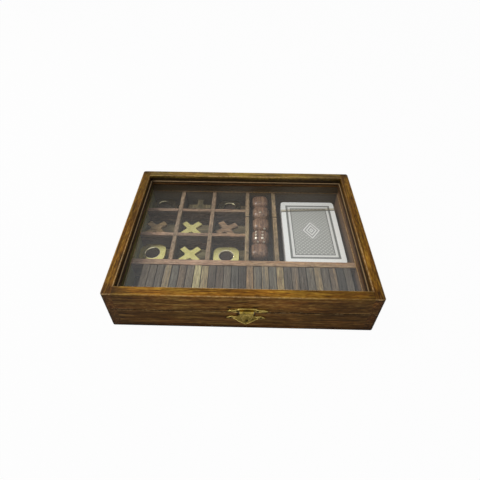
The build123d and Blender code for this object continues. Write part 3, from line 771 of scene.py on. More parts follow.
@dataclass(frozen=True)
class CardBack(Finish):
    """Back of the top card: frames round a field of lozenges, a plain stock pattern."""

    centre_x: float
    centre_y: float
    turn: float
    half_width: float
    half_length: float
    fold: float
    fold_turn: float

    def paint(self, graph: NodeGraph) -> Signal:
        """Print the frames, the lattice and the lozenge in the middle."""
        place = graph.place()
        x, y, _ = graph.axes(place)
        east, north = x - self.centre_x, y - self.centre_y
        cosine, sine = math.cos(math.radians(self.turn)), math.sin(math.radians(self.turn))
        u, v = east * cosine + north * sine, north * cosine - east * sine
        inset = graph.math("MINIMUM", self.half_width - abs(u), self.half_length - abs(v) - 0.7)
        ink, pale = colour("7B7E7A"), colour("E4E5E1")
        board = graph.blend(graph.noise(place, (5, 5, 5), 3.0) * 0.10, colour("FAFCF8"), colour("DEE2DE"))
        lattice = self._lines(graph, u + v, 4.2) + self._lines(graph, u - v, 4.2)
        net = graph.math("MINIMUM", lattice, 1.0)
        field_tone = graph.blend(net * 0.62, colour("C8CAC4"), ink)
        lozenge = abs(u) / 11.0 + abs(v) / 15.5
        ripples = self._lines(graph, lozenge, 0.30)
        medal = graph.blend(ripples * 0.8, pale, ink)
        field_tone = graph.blend(graph.step(lozenge, 1.0, 0.97), field_tone, medal)
        printed = graph.blend(self._between(graph, inset, 5.0, 7.3), board, ink)
        printed = graph.blend(self._between(graph, inset, 7.3, 9.8), printed, pale)
        printed = graph.blend(self._between(graph, inset, 9.8, 10.7), printed, colour("666965"))
        printed = graph.blend(graph.step(inset, 10.65, 10.75), printed, field_tone)
        above = v - u * math.tan(math.radians(self.fold_turn)) - self.fold
        printed = graph.blend(graph.step(above, 0.0, 0.3) * 0.16, printed, colour("A9AAA2"))
        strip = graph.step(above, 0.0, 0.3) * graph.step(above, 4.6, 2.6)
        printed = graph.stain(strip, printed, (0.66, 0.60, 0.48, 1))
        inputs = {
            "Base Color": printed,
            "Roughness": 0.36 + net * 0.08,
            "Normal": graph.bump(graph.noise(place, (0.6, 0.6, 0.6), 2.0), 0.02),
            "Coat Weight": 0.6,
            "Coat Roughness": 0.18,
        }
        return self.principled(graph, inputs)

    @staticmethod
    def _lines(graph: NodeGraph, value: Signal, pitch: float) -> Signal:
        """Draw thin lines at every whole pitch of a value."""
        phase = graph.math("FRACT", value / pitch + 100)
        return graph.step(abs(phase - 0.5), 0.22, 0.34)

    @staticmethod
    def _between(graph: NodeGraph, value: Signal, low: float, high: float) -> Signal:
        """Give 1 between two insets, with soft edges."""
        return graph.step(value, low - 0.1, low + 0.1) * graph.step(value, high + 0.1, high - 0.1)


@dataclass(frozen=True)
class Film(Finish):
    """Tear band round the deck: thin dark film."""

    def paint(self, graph: NodeGraph) -> Signal:
        """Build smooth film with a few creases."""
        place = graph.place()
        creases = graph.noise(place, (2.0, 0.5, 2.0), 2.0)
        inputs = {
            "Base Color": graph.blend(creases, colour("3E3E39"), colour("77766D")),
            "Roughness": 0.25 + creases * 0.2,
            "Normal": graph.bump(creases, 0.03),
        }
        return self.principled(graph, inputs)


# ---------------------------------------------------------------------------
# Mesh tools
# ---------------------------------------------------------------------------
@dataclass
class Joinery:
    """Turns meshes into pieces that ride on the case, and dresses the CAD nodes."""

    nodes: Mapping[str, bpy.types.Object]
    made: list[str] = field(default_factory=list)

    def dress(self, names: Iterable[str], finish: Finish) -> None:
        """Give CAD nodes one finish.

        Args:
            names: The nodes.
            finish: What they are dressed in.
        """
        material = finish.material()
        for name in names:
            for slot in self.nodes[name].material_slots:
                slot.material = material

    def piece(
        self,
        name: str,
        form: bmesh.types.BMesh,
        material: bpy.types.Material,
        body: Body,
        slot: str,
        stands_for: Sequence[str] = (),
        sharp: float = 40.0,
    ) -> None:
        """Make a piece from a mesh and fix it to a body.

        Args:
            name: Name of the piece.
            form: Its mesh, which is freed.
            material: Its material.
            body: The body that it rides on.
            slot: Not used.
            stands_for: CAD nodes that it replaces.
            sharp: Edges that turn by more than this many degrees stay sharp.
        """
        mesh = bpy.data.meshes.new(name)
        bmesh.ops.recalc_face_normals(form, faces=form.faces)
        form.to_mesh(mesh)
        form.free()
        mesh.materials.append(material)
        mesh.shade_smooth()
        mesh.set_sharp_from_angle(angle=math.radians(sharp))
        made = bpy.data.objects.new(name, mesh)
        bpy.context.scene.collection.objects.link(made)
        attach(made, body.value)
        if stands_for:
            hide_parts(*stands_for)
        self.made.append(name)


def add_block(
    form: bmesh.types.BMesh, low: Point, high: Point, ease: float, segments: int
) -> list[bmesh.types.BMFace]:
    """Add a block with eased edges.

    Args:
        form: The mesh that takes it.
        low: Its lowest corner, in millimetres.
        high: Its highest corner, in millimetres.
        ease: Width of the eased edges, in millimetres.
        segments: Facets across an eased edge.

    Returns:
        The faces of the block.
    """
    middle = Vector((a + b) / 2 for a, b in zip(low, high)) * MM
    size = [(b - a) * MM for a, b in zip(low, high)]
    matrix = Matrix.Translation(middle) @ Matrix.Diagonal((*size, 1.0))
    known = set(form.faces)
    corners = bmesh.ops.create_cube(form, size=1.0, matrix=matrix)["verts"]
    edges = list({edge for vert in corners for edge in vert.link_edges})
    bmesh.ops.bevel(form, geom=edges, offset=ease * MM, segments=segments, profile=0.6, affect="EDGES")
    return [face for face in form.faces if face not in known]


def add_prism(form: bmesh.types.BMesh, outline: Sequence[Spot], low: float, high: float) -> None:
    """Add an upright prism.

    Args:
        form: The mesh that takes it.
        outline: Its outline in X and Y, in millimetres.
        low: Height of its foot, in millimetres.
        high: Height of its top, in millimetres.
    """
    foot = [form.verts.new((x * MM, y * MM, low * MM)) for x, y in outline]
    top = [form.verts.new((x * MM, y * MM, high * MM)) for x, y in outline]
    form.faces.new(list(reversed(foot)))
    form.faces.new(top)
    for i in range(len(outline)):
        j = (i + 1) % len(outline)
        form.faces.new((foot[i], foot[j], top[j], top[i]))


def add_dome(form: bmesh.types.BMesh, place: Matrix, radius: float, rise: float) -> None:
    """Add a shallow dome with a closed back.

    Args:
        form: The mesh that takes it.
        place: Its frame in metres; the dome rises along local Z.
        radius: Its radius, in millimetres.
        rise: Its height, in millimetres.
    """
    sides, rings = 14, 3
    bands: list[list[bmesh.types.BMVert]] = []
    for ring in range(rings):
        share = ring / rings
        reach, height = radius * math.cos(share * math.pi / 2), rise * math.sin(share * math.pi / 2)
        band = []
        for i in range(sides):
            turn = 2 * math.pi * i / sides
            local = Vector((reach * math.cos(turn), reach * math.sin(turn), height)) * MM
            band.append(form.verts.new(place @ local))
        bands.append(band)
    crown = form.verts.new(place @ Vector((0, 0, rise * MM)))
    form.faces.new(list(reversed(bands[0])))
    for lower, upper in zip(bands, bands[1:]):
        for i in range(sides):
            j = (i + 1) % sides
            form.faces.new((lower[i], lower[j], upper[j], upper[i]))
    for i in range(sides):
        form.faces.new((bands[-1][i], bands[-1][(i + 1) % sides], crown))


def swept(start: Spot, *bows: tuple[Spot, Spot], steps: int = 6) -> list[Spot]:
    """Return a path of smooth curves, one after another.

    Args:
        start: Where the path starts.
        bows: For each curve, the point that it passes half way and its end.
        steps: Points on each curve.

    Returns:
        The points, with the start.
    """
    points = [start]
    for middle, end in bows:
        first = points[-1]
        for i in range(1, steps + 1):
            t = i / steps
            a, b, c = 2 * (t - 0.5) * (t - 1), 4 * t * (1 - t), 2 * t * (t - 0.5)
            points.append(tuple(a * p + b * q + c * r for p, q, r in zip(first, middle, end)))
    return points


def scroll_points(x: float, z: float, radius: float, turns: float, start: float, sense: int) -> list[Spot]:
    """Return points along a spiral that winds in towards its eye, in millimetres.

    Args:
        x: Where its eye is, across.
        z: Where its eye is, up.
        radius: Its outer radius.
        turns: How many turns it makes.
        start: Angle of its outer end, in degrees.
        sense: 1 to wind anticlockwise, -1 clockwise.

    Returns:
        The points, outer end first.
    """
    count = max(6, round(12 * turns))
    points = []
    for i in range(count + 1):
        share = i / count
        turn = math.radians(start) + sense * 2 * math.pi * turns * share
        reach = radius * (1 - 0.78 * share)
        points.append((x + reach * math.cos(turn), z + reach * math.sin(turn)))
    return points


def add_ridge(form: bmesh.types.BMesh, points: Sequence[Spot], face_y: float, half: float, rise: float) -> None:
    """Add a rounded ridge that runs along a path on a face that looks to the front.

    Args:
        form: The mesh that takes it.
        points: The path, X and Z in millimetres.
        face_y: Y of the face, in millimetres.
        half: Half the width of the ridge, in millimetres.
        rise: Its height, in millimetres.
    """
    section = ((-1.0, -0.15), (-0.8, 0.6), (0.0, 1.0), (0.8, 0.6), (1.0, -0.15))
    rings: list[list[bmesh.types.BMVert]] = []
    for i, (x, z) in enumerate(points):
        ahead, behind = points[min(i + 1, len(points) - 1)], points[max(i - 1, 0)]
        run = Vector((ahead[0] - behind[0], ahead[1] - behind[1])).normalized()
        thin = 0.35 if i in (0, len(points) - 1) else 1.0
        ring = []
        for across, out in section:
            side = across * half * thin
            spot = Vector((x - run.y * side, face_y - out * rise * thin, z + run.x * side))
            ring.append(form.verts.new(spot * MM))
        rings.append(ring)
    for first, second in zip(rings, rings[1:]):
        for i in range(len(section)):
            j = (i + 1) % len(section)
            form.faces.new((first[i], first[j], second[j], second[i]))
    form.faces.new(rings[0])
    form.faces.new(list(reversed(rings[-1])))


def ring_points(x: float, z: float, radius: float, count: int = 16) -> list[Spot]:
    """Return points once round a circle, in millimetres."""
    turns = (2 * math.pi * i / count for i in range(count + 1))
    return [(x + radius * math.cos(turn), z + radius * math.sin(turn)) for turn in turns]


def rounded_outline(half_x: float, half_y: float, radius: float, steps: int = 6) -> list[Spot]:
    """Return the outline of a rectangle with round corners, anticlockwise, in millimetres."""
    outline = []
    for quarter, (sx, sy) in enumerate(((1, 1), (-1, 1), (-1, -1), (1, -1))):
        for i in range(steps + 1):
            turn = math.pi / 2 * (quarter + i / steps)
            x = sx * (half_x - radius) + radius * math.cos(turn)
            outline.append((x, sy * (half_y - radius) + radius * math.sin(turn)))
    return outline


def pip_pattern(count: int) -> list[Spot]:
    """Return where the pips of a face sit, in steps from its middle."""
    points = [(0.0, 0.0)] if count % 2 else []
    if count >= 2:
        points += [(-1.0, -1.0), (1.0, 1.0)]
    if count >= 4:
        points += [(-1.0, 1.0), (1.0, -1.0)]
    if count == 6:
        points += [(-1.0, 0.0), (1.0, 0.0)]
    return points


# ---------------------------------------------------------------------------
# Sub-assemblies
# ---------------------------------------------------------------------------
@dataclass
class Case:
    """The base, the lid frame, its beads and the pane."""

    joinery: Joinery
    rail_shades: tuple[str, str, str] = ("402808", "785216", "A98432")
    back_shades: tuple[str, str, str] = ("402E0E", "765C20", "AA9244")
    # Painted shadows round the latch on the front board, each as X, Z and reach across and up.
    board_latch_shadows: tuple[tuple[float, float, float, float], ...] = (
        (-3.2, 21.6, 2.6, 2.6), (9.8, 21.2, 2.2, 1.8), (-13.0, 16.2, 3.0, 1.2), (12.0, 15.0, 3.0, 1.2),
    )
    # Colours of the raw inner faces by side: the left one is painted paler and more olive as painted light.
    inner_painted_light: Mapping[str, str] = field(default_factory=lambda: {"left": "807E44", "right": "86684E"})
    # Painted shadows above the latch plate on the front rail.
    rail_latch_shadows: tuple[tuple[float, float, float, float], ...] = ((-10.6, 31.4, 3.0, 1.6), (10.6, 32.2, 4.0, 1.2))

    def build(self) -> None:
        """Dress every board, rail and bead, the floor panel and the pane."""
        sides = {"front": Grain.X, "back": Grain.X, "left": Grain.Y, "right": Grain.Y}
        for index, (side, grain) in enumerate(sides.items()):
            self._dress_board(side, grain, index)
            self._dress_rail(side, grain, index)
            self._dress_bead(side, grain, index)
        panel = FloorPly("floor_ply", Grain.X, "6A5F42", "7C7050", "8C8060", seed=31, band=5, roughness=0.6, pores=0.3)
        self.joinery.dress(["base_floor_panel"], panel)
        self.joinery.dress(["base_floor_pins"], Steel("panel_tacks"))
        self.joinery.dress(["lid_glass"], PaneGlass("pane_glass"))

    def _dress_board(self, side: str, grain: Grain, index: int) -> None:
        """Dress one board of the base."""
        board = CaseTimber(
            f"case_board_{side}", grain, "3C2811", "704E24", "9C7842", seed=3 + 5 * index, band=2.2,
            inner_x=105.8, inner_y=77.3, top=24.6, outer_wear_and_highlight=0.10, inner_wear_and_highlight=0.8, coat=0.03, roughness=0.52,
            shine=0.10, patch=0.5, streak=0.75, fleck=0.22, bare_below=60.0, glow=0.8 if grain is Grain.X else 0.25,
            bare=self.inner_painted_light.get(side, "746650"), grime_and_shade=self.board_latch_shadows if side == "front" else (),
        )
        self.joinery.dress([f"base_{side}_board"], board)

    def _dress_rail(self, side: str, grain: Grain, index: int) -> None:
        """Dress one rail of the lid frame; the back one is a paler board."""
        shades, shine = (self.back_shades, 0.2) if side == "back" else (self.rail_shades, 0.10)
        rail = CaseTimber(
            f"lid_rail_{side}", grain, *shades, seed=40 + 5 * index, band=2.4, corner_stain=0.9, coat=0.02,
            roughness=0.48, shine=shine, patch=0.55, streak=0.6, inner_wear_and_highlight=0.8, fleck=0.34,
            glow=1.0 if grain is Grain.X else 0.25, of_lid=True, bare=self.inner_painted_light.get(side, "746650"),
            grime_and_shade=self.rail_latch_shadows if side == "front" else (),
        )
        self.joinery.dress([f"lid_{side}_rail"], rail)

    def _dress_bead(self, side: str, grain: Grain, index: int) -> None:
        """Dress one bead that holds the pane."""
        bead = BeadTimber(
            f"pane_bead_{side}", grain, "33200F", "573A1B", "76552B", seed=70 + 5 * index, band=2.2,
            roughness=0.5, shine=0.15, rub_and_highlight={"left": 0.95, "back": 0.6}.get(side, 0.42),
            stain=0.0 if side == "back" else 0.35,
        )
        self.joinery.dress([f"glass_bead_{side}"], bead)


@dataclass
class Tray:
    """The dividers that part the case into cells and wells."""

    joinery: Joinery
    along_x: tuple[str, ...] = ("divider_grid_cross_rear", "divider_grid_cross_front")
    along_y: tuple[str, ...] = (
        "divider_grid_left", "divider_grid_right", "divider_dice_left", "divider_dice_right",
    )
    kerf_y: float = 35.2

    def build(self) -> None:
        """Dress the dividers, each run of them along its own grain."""
        for index, name in enumerate(self.along_x):
            self._dress(name, Grain.X, 101 + 3 * index, ("5A4636", "866C56", "BC9E80"))
        for index, name in enumerate(self.along_y):
            self._dress(name, Grain.Y, 121 + 3 * index, ("584A36", "84725A", "BAA484"))
        front = DividerTimber(
            "divider_front_wood", Grain.X, "745943", "A4846A", "D4B294", seed=141, band=1.4, roughness=0.58, fleck=0.5,
        )
        self.joinery.dress(["divider_long_front"], front)
        rests = Timber("rest_wood", Grain.X, "221810", "2F2216", "3E2E1E", seed=145, band=2.4, roughness=0.6)
        self.joinery.dress(["counter_rests"], rests)

    def _dress(self, name: str, grain: Grain, seed: float, shades: tuple[str, str, str]) -> None:
        """Dress one divider."""
        kerf_y = self.kerf_y if "dice" in name else None
        finish = DividerTimber(
            f"{name}_wood", grain, *shades, seed=seed, band=1.4, roughness=0.6, fleck=0.5, kerf_y=kerf_y,
        )
        self.joinery.dress([name], finish)


@dataclass
class Counters:
    """Noughts and crosses: the noughts and two of the crosses are brass, the other three wood."""

    joinery: Joinery
    noughts: tuple[tuple[str, float, float], ...] = (
        ("rear_left", -91.8, 61.2), ("rear_right", -17.1, 59.9),
        ("front_left", -90.9, -13.0), ("front_right", -17.2, -15.3),
    )
    polished: tuple[str, str] = ("F8F0A2", "D6C974")
    # The rear noughts take a darker copy of the same brass and no lip highlight: painted shade.
    shaded_copy: tuple[str, str] = ("C0B896", "9A9272")

    def build(self) -> None:
        """Dress the counters."""
        cast: dict[str, Any] = {"cell": (14, 0.5, 14), "roughness": 0.17, "metal": 1.0, "tarnished": 0.4}
        for index, (place, x, y) in enumerate(self.noughts):
            shades, lip_highlight = (self.shaded_copy, 0.0) if "rear" in place else (self.polished, 0.8)
            ring = RingBrass(
                f"nought_brass_{place}", *shades, seed=15 + 3 * index, centre_x=x, centre_y=y, lip_highlight=lip_highlight,
                **cast,
            )
            self.joinery.dress([f"nought_{place}"], ring)
        crosses = Brass("cross_brass", *self.polished, seed=5, **cast)
        self.joinery.dress(["cross_middle_centre", "cross_front_middle"], crosses)
        for place, grain, shades in (
            ("middle_left", Grain.X, ("6E5434", "A8895C", "D0B086")),
            ("middle_right", Grain.X, ("5C4A32", "90765A", "BCA07E")),
            ("rear_middle", Grain.Y, ("423C2A", "605A40", "7E7656")),
        ):
            wood = Timber(
                f"counter_wood_{place}", grain, *shades, seed=151, band=2.2, roughness=0.45, coat=0.1, fleck=0.45,
            )
            self.joinery.dress([f"cross_{place}"], wood)


@dataclass(frozen=True)
class DieFace:
    """One drilled face: its count, its drift and steps in millimetres, and whether its pips take the bright copy of
    the pip metal, a painted glint.
    """

    count: int
    shift: tuple[float, float] = (0.0, 0.0)
    step: tuple[float, float] = (3.7, 4.4)
    bright: bool = False


@dataclass(frozen=True)
class DieLay:
    """How one die lies in its well, in millimetres and degrees."""

    x: float
    y: float
    turn: float
    top: DieFace
    front: DieFace


@dataclass
class Dice:
    """Five wooden dice with metal pips, well rounded by hand."""

    joinery: Joinery
    size: float = 18.8
    radius: float = 6.2
    foot: float = 3.5
    pip_radius: float = 1.2
    pip_rise: float = 0.16
    pip_seat: float = 0.986
    lays: tuple[DieLay, ...] = (
        DieLay(17.7, 67.5, 2.5, DieFace(4), DieFace(2)),
        DieLay(18.0, 48.4, -2.0, DieFace(1, (-0.8, -3.4), bright=True), DieFace(2)),
        DieLay(17.9, 29.3, 2.0, DieFace(3), DieFace(2, (0.6, 6.2), (2.8, 1.3), True)),
        DieLay(17.0, 10.2, -1.5, DieFace(6, (-1.2, -0.4), (3.5, 4.6), True), DieFace(4, (0.6, 2.6), (3.1, 4.4), True)),
        DieLay(15.7, -8.9, 1.5, DieFace(5), DieFace(4)),
    )

    def build(self) -> None:
        """Build each die and its pips."""
        wood = Timber(
            "die_wood", Grain.Y, "54392B", "84654E", "B08E72", seed=161, band=2.6, roughness=0.34, coat=0.35,
            pores=0.5, streak=0.15, patch=0.35, fleck=0.2,
        ).material()
        fine: Point = (0.8, 0.8, 0.8)
        # Painted light: the bright and the dull pip metals are lit and shaded copies of one metal.
        shiny = Brass("pip_metal", "E2DAC6", "A0957C", fine, roughness=0.36, tarnished=0.3, seed=8).material()
        dull = Brass("pip_metal_dull", "8A6E57", "5E4436", fine, roughness=0.5, metal=0.5, seed=9).material()
        for number, lay in enumerate(self.lays, start=1):
            self._build_body(number, lay, wood)
            self._build_pips(number, lay, shiny, dull)

    def _place(self, lay: DieLay) -> Matrix:
        """Return the frame at the middle of a die, in metres."""
        middle = Vector((lay.x, lay.y, self.foot + self.size / 2)) * MM
        return Matrix.Translation(middle) @ Matrix.Rotation(math.radians(lay.turn), 4, "Z")

    def _build_body(self, number: int, lay: DieLay, wood: bpy.types.Material) -> None:
        """Build a cube rounded towards a ball, a little uneven."""
        form = bmesh.new()
        cuts, half = 14, self.size / 2
        bmesh.ops.create_cube(form, size=2.0)
        bmesh.ops.subdivide_edges(form, edges=form.edges, cuts=cuts, use_grid_fill=True)
        place = self._place(lay)
        for vert in form.verts:
            spread = Vector(math.copysign(min(abs(c), 1.0) ** 0.8, c) * half for c in vert.co)
            point, _ = self._rounded(spread)
            uneven = 0.10 * math.sin(point.x * 0.9 + number * 2) * math.cos(point.y * 0.7 + number)
            vert.co = place @ (point * (1 - (0.012 + 0.006 * uneven)) * MM)
        self.joinery.piece(f"die_{number}_body", form, wood, Body.BASE, "dice_wood", [f"die_{number}"])

    def _rounded(self, spread: Vector) -> tuple[Vector, Vector]:
        """Draw a point of the cube in to its rounded form.

        Args:
            spread: Where the point lies on the square cube, in millimetres.

        Returns:
            The point on the rounded form and the direction that it faces.
        """
        flat = self.size / 2 - self.radius
        core = Vector(max(-flat, min(flat, c)) for c in spread)
        facing = (spread - core).normalized()
        return core + facing * self.radius, facing

    def _build_pips(self, number: int, lay: DieLay, shiny: bpy.types.Material, dull: bpy.types.Material) -> None:
        """Set the pips into the six faces, the bright ones and the dull ones apart, as lit and shaded copies of one
        metal.
        """
        top, front = lay.top, lay.front
        side = next(v for v in range(1, 7) if v not in (top.count, 7 - top.count, front.count, 7 - front.count))
        faces = (
            (top, 0.0, 0.0), (DieFace(7 - top.count), 180.0, 0.0), (front, 90.0, 0.0),
            (DieFace(7 - front.count), -90.0, 0.0), (DieFace(side), 0.0, 90.0), (DieFace(7 - side), 0.0, -90.0),
        )
        for bright, metal, suffix in ((True, shiny, "bright"), (False, dull, "dull")):
            form = bmesh.new()
            for face, tip, roll in faces:
                if face.bright is bright:
                    self._drill(form, lay, face, tip, roll)
            if form.verts:
                self.joinery.piece(f"die_{number}_pips_{suffix}", form, metal, Body.BASE, "pin_steel")
            else:
                form.free()

    def _drill(self, form: bmesh.types.BMesh, lay: DieLay, face: DieFace, tip: float, roll: float) -> None:
        """Add the pips of one face, which follow the rounding of the die."""
        turned = Matrix.Rotation(math.radians(tip), 4, "X") @ Matrix.Rotation(math.radians(roll), 4, "Y")
        for u, v in pip_pattern(face.count):
            spread = Vector((u * face.step[0] + face.shift[0], v * face.step[1] + face.shift[1], self.size / 2))
            seat, facing = self._rounded(spread)
            aim = facing.to_track_quat("Z", "Y").to_matrix().to_4x4()
            seated = self._place(lay) @ turned @ Matrix.Translation(seat * (self.pip_seat * MM)) @ aim
            add_dome(form, seated, self.pip_radius, self.pip_rise)


class Tone(Enum):
    """Tone of a domino tile, from umber to straw."""

    UMBER = 0.12
    SMOKE = 0.30
    BROWN = 0.45
    FAWN = 0.62
    TAN = 0.82
    STRAW = 0.98


@dataclass
class DominoRow:
    """Twenty-eight tiles that stand on their long edges in the front well."""

    joinery: Joinery
    start: float = -94.2
    pitch: float = 6.95
    thickness: float = 6.8
    length: float = 42.4
    foot: float = 3.5
    head: float = 23.5
    middle_y: float = -55.75
    shifts: tuple[float, ...] = (0.15, -0.25, 0.3, -0.1, -0.3, 0.2, 0.0)
    per_node: int = 4
    tones: tuple[Tone, ...] = (
        Tone.BROWN, Tone.BROWN, Tone.SMOKE, Tone.FAWN, Tone.BROWN, Tone.SMOKE, Tone.BROWN,
        Tone.STRAW, Tone.TAN, Tone.SMOKE, Tone.SMOKE, Tone.BROWN, Tone.SMOKE, Tone.UMBER,
        Tone.FAWN, Tone.BROWN, Tone.FAWN, Tone.BROWN, Tone.TAN, Tone.SMOKE, Tone.BROWN,
        Tone.SMOKE, Tone.BROWN, Tone.FAWN, Tone.SMOKE, Tone.BROWN, Tone.UMBER, Tone.SMOKE,
    )

    def build(self) -> None:
        """Build the tiles four to a piece, as the frame groups them."""
        wood = TileTimber(
            "domino_wood", Grain.Y, "585047", "766C5D", "BDAE80", seed=171, roughness=0.6, depth=0.1,
        ).material()
        cuts = random.Random(28)
        for group in range(len(self.tones) // self.per_node):
            form = bmesh.new()
            layers = [form.faces.layers.float.new(name) for name in TILE_TRAITS]
            for index in range(group * self.per_node, (group + 1) * self.per_node):
                value = self.tones[index].value + cuts.uniform(-0.06, 0.06)
                traits = [value, cuts.uniform(0.0, 0.9), cuts.uniform(0.0, 1.0)]
                for face in self._add_tile(form, index):
                    # Faces that look at the next tile carry the seam mark, for the painted shade between tiles.
                    side = 1.0 if abs(face.normal.x) > 0.45 else 0.0
                    for layer, trait in zip(layers, (*traits, side)):
                        face[layer] = trait
            name = f"dominoes_{group + 1}"
            self.joinery.piece(f"domino_tiles_{group + 1}", form, wood, Body.BASE, "domino_wood", [name], 30.0)
        self._build_pips()

    def _span(self, index: int) -> tuple[float, float, float, float]:
        """Return a tile's left, right, front and back, in millimetres."""
        left = self.start + index * self.pitch
        middle = self.middle_y + self.shifts[index % len(self.shifts)]
        return left, left + self.thickness, middle - self.length / 2, middle + self.length / 2

    def _add_tile(self, form: bmesh.types.BMesh, index: int) -> list[bmesh.types.BMFace]:
        """Add one tile to a mesh and return its faces, with their normals worked out."""
        left, right, front, back = self._span(index)
        faces = add_block(form, (left, front, self.foot), (right, back, self.head), 0.75, 3)
        bmesh.ops.recalc_face_normals(form, faces=faces)
        return faces

    def _build_pips(self) -> None:
        """Inlay the pips and the bar on the two outer faces of the row."""
        form = bmesh.new()
        last = len(self.tones) - 1
        for index, edge, sign, ends in ((0, 0, -1, (3, 2)), (last, 1, 1, (5, 1))):
            spans = self._span(index)
            face_x = spans[edge]
            middle_y, middle_z = (spans[2] + spans[3]) / 2, (self.foot + self.head) / 2
            turn = Matrix.Rotation(math.radians(90 * sign), 4, "Y")
            for end, count in zip((-1, 1), ends):
                for u, v in pip_pattern(count):
                    y, z = middle_y + end * self.length / 4 + v * 5.0, middle_z + u * 5.0
                    seat = Matrix.Translation(Vector((face_x - sign * 0.02, y, z)) * MM)
                    add_dome(form, seat @ turn, 1.3, 0.08)
            low = (min(face_x, face_x + sign * 0.08), middle_y - 0.4, self.foot + 2.5)
            high = (max(face_x, face_x + sign * 0.08), middle_y + 0.4, self.head - 2.5)
            add_block(form, low, high, 0.03, 1)
        pale = Brass("domino_pip", "D9C88E", "7A6540", cell=(0.8, 0.8, 0.8), roughness=0.4, seed=12).material()
        self.joinery.piece("domino_pips", form, pale, Body.BASE, "domino_wood")


@dataclass
class CardDeck:
    """Fifty-four cards, the printed back of the top one, and the tear band."""

    joinery: Joinery
    centre_x: float = 70.7
    centre_y: float = 20.4
    turn: float = 0.5
    half_width: float = 29.6
    half_length: float = 46.0
    foot: float = 3.5
    height: float = 16.0
    corner: float = 3.5
    count: int = 54
    slip: float = 0.14
    fold: float = 31.0
    fold_turn: float = 3.4

    def build(self) -> None:
        """Build the stack, its top card and the band."""
        pitch = self.height / self.count
        draw = random.Random(54)
        form = bmesh.new()
        for index in range(self.count - 1):
            low = self.foot + index * pitch
            shift_x, shift_y = (draw.uniform(-self.slip, self.slip) for _ in range(2))
            add_prism(form, self._outline(shift_x, shift_y, self.slip), low, low + pitch * 0.97)
        stock = CardStock("card_stock", pitch, self.foot).material()
        self.joinery.piece("card_stack", form, stock, Body.BASE, "card_stock", ["card_deck"], 30.0)
        top = bmesh.new()
        low = self.foot + (self.count - 1) * pitch
        add_prism(top, self._outline(0.0, 0.0, 0.0), low, low + pitch)
        back = CardBack(
            "card_back", self.centre_x, self.centre_y, self.turn, self.half_width, self.half_length, self.fold,
            self.fold_turn,
        ).material()
        self.joinery.piece("card_top", top, back, Body.BASE, "card_stock", sharp=30.0)
        self.joinery.dress(["deck_tear_band"], Film("tear_band_film"))

    def _outline(self, shift_x: float, shift_y: float, inset: float) -> list[Spot]:
        """Return the outline of one card, in millimetres."""
        shape = rounded_outline(self.half_width - inset, self.half_length - inset, self.corner)
        cosine, sine = math.cos(math.radians(self.turn)), math.sin(math.radians(self.turn))
        outline = []
        for x, y in shape:
            u, v = x + shift_x, y + shift_y
            outline.append((self.centre_x + u * cosine - v * sine, self.centre_y + u * sine + v * cosine))
        return outline


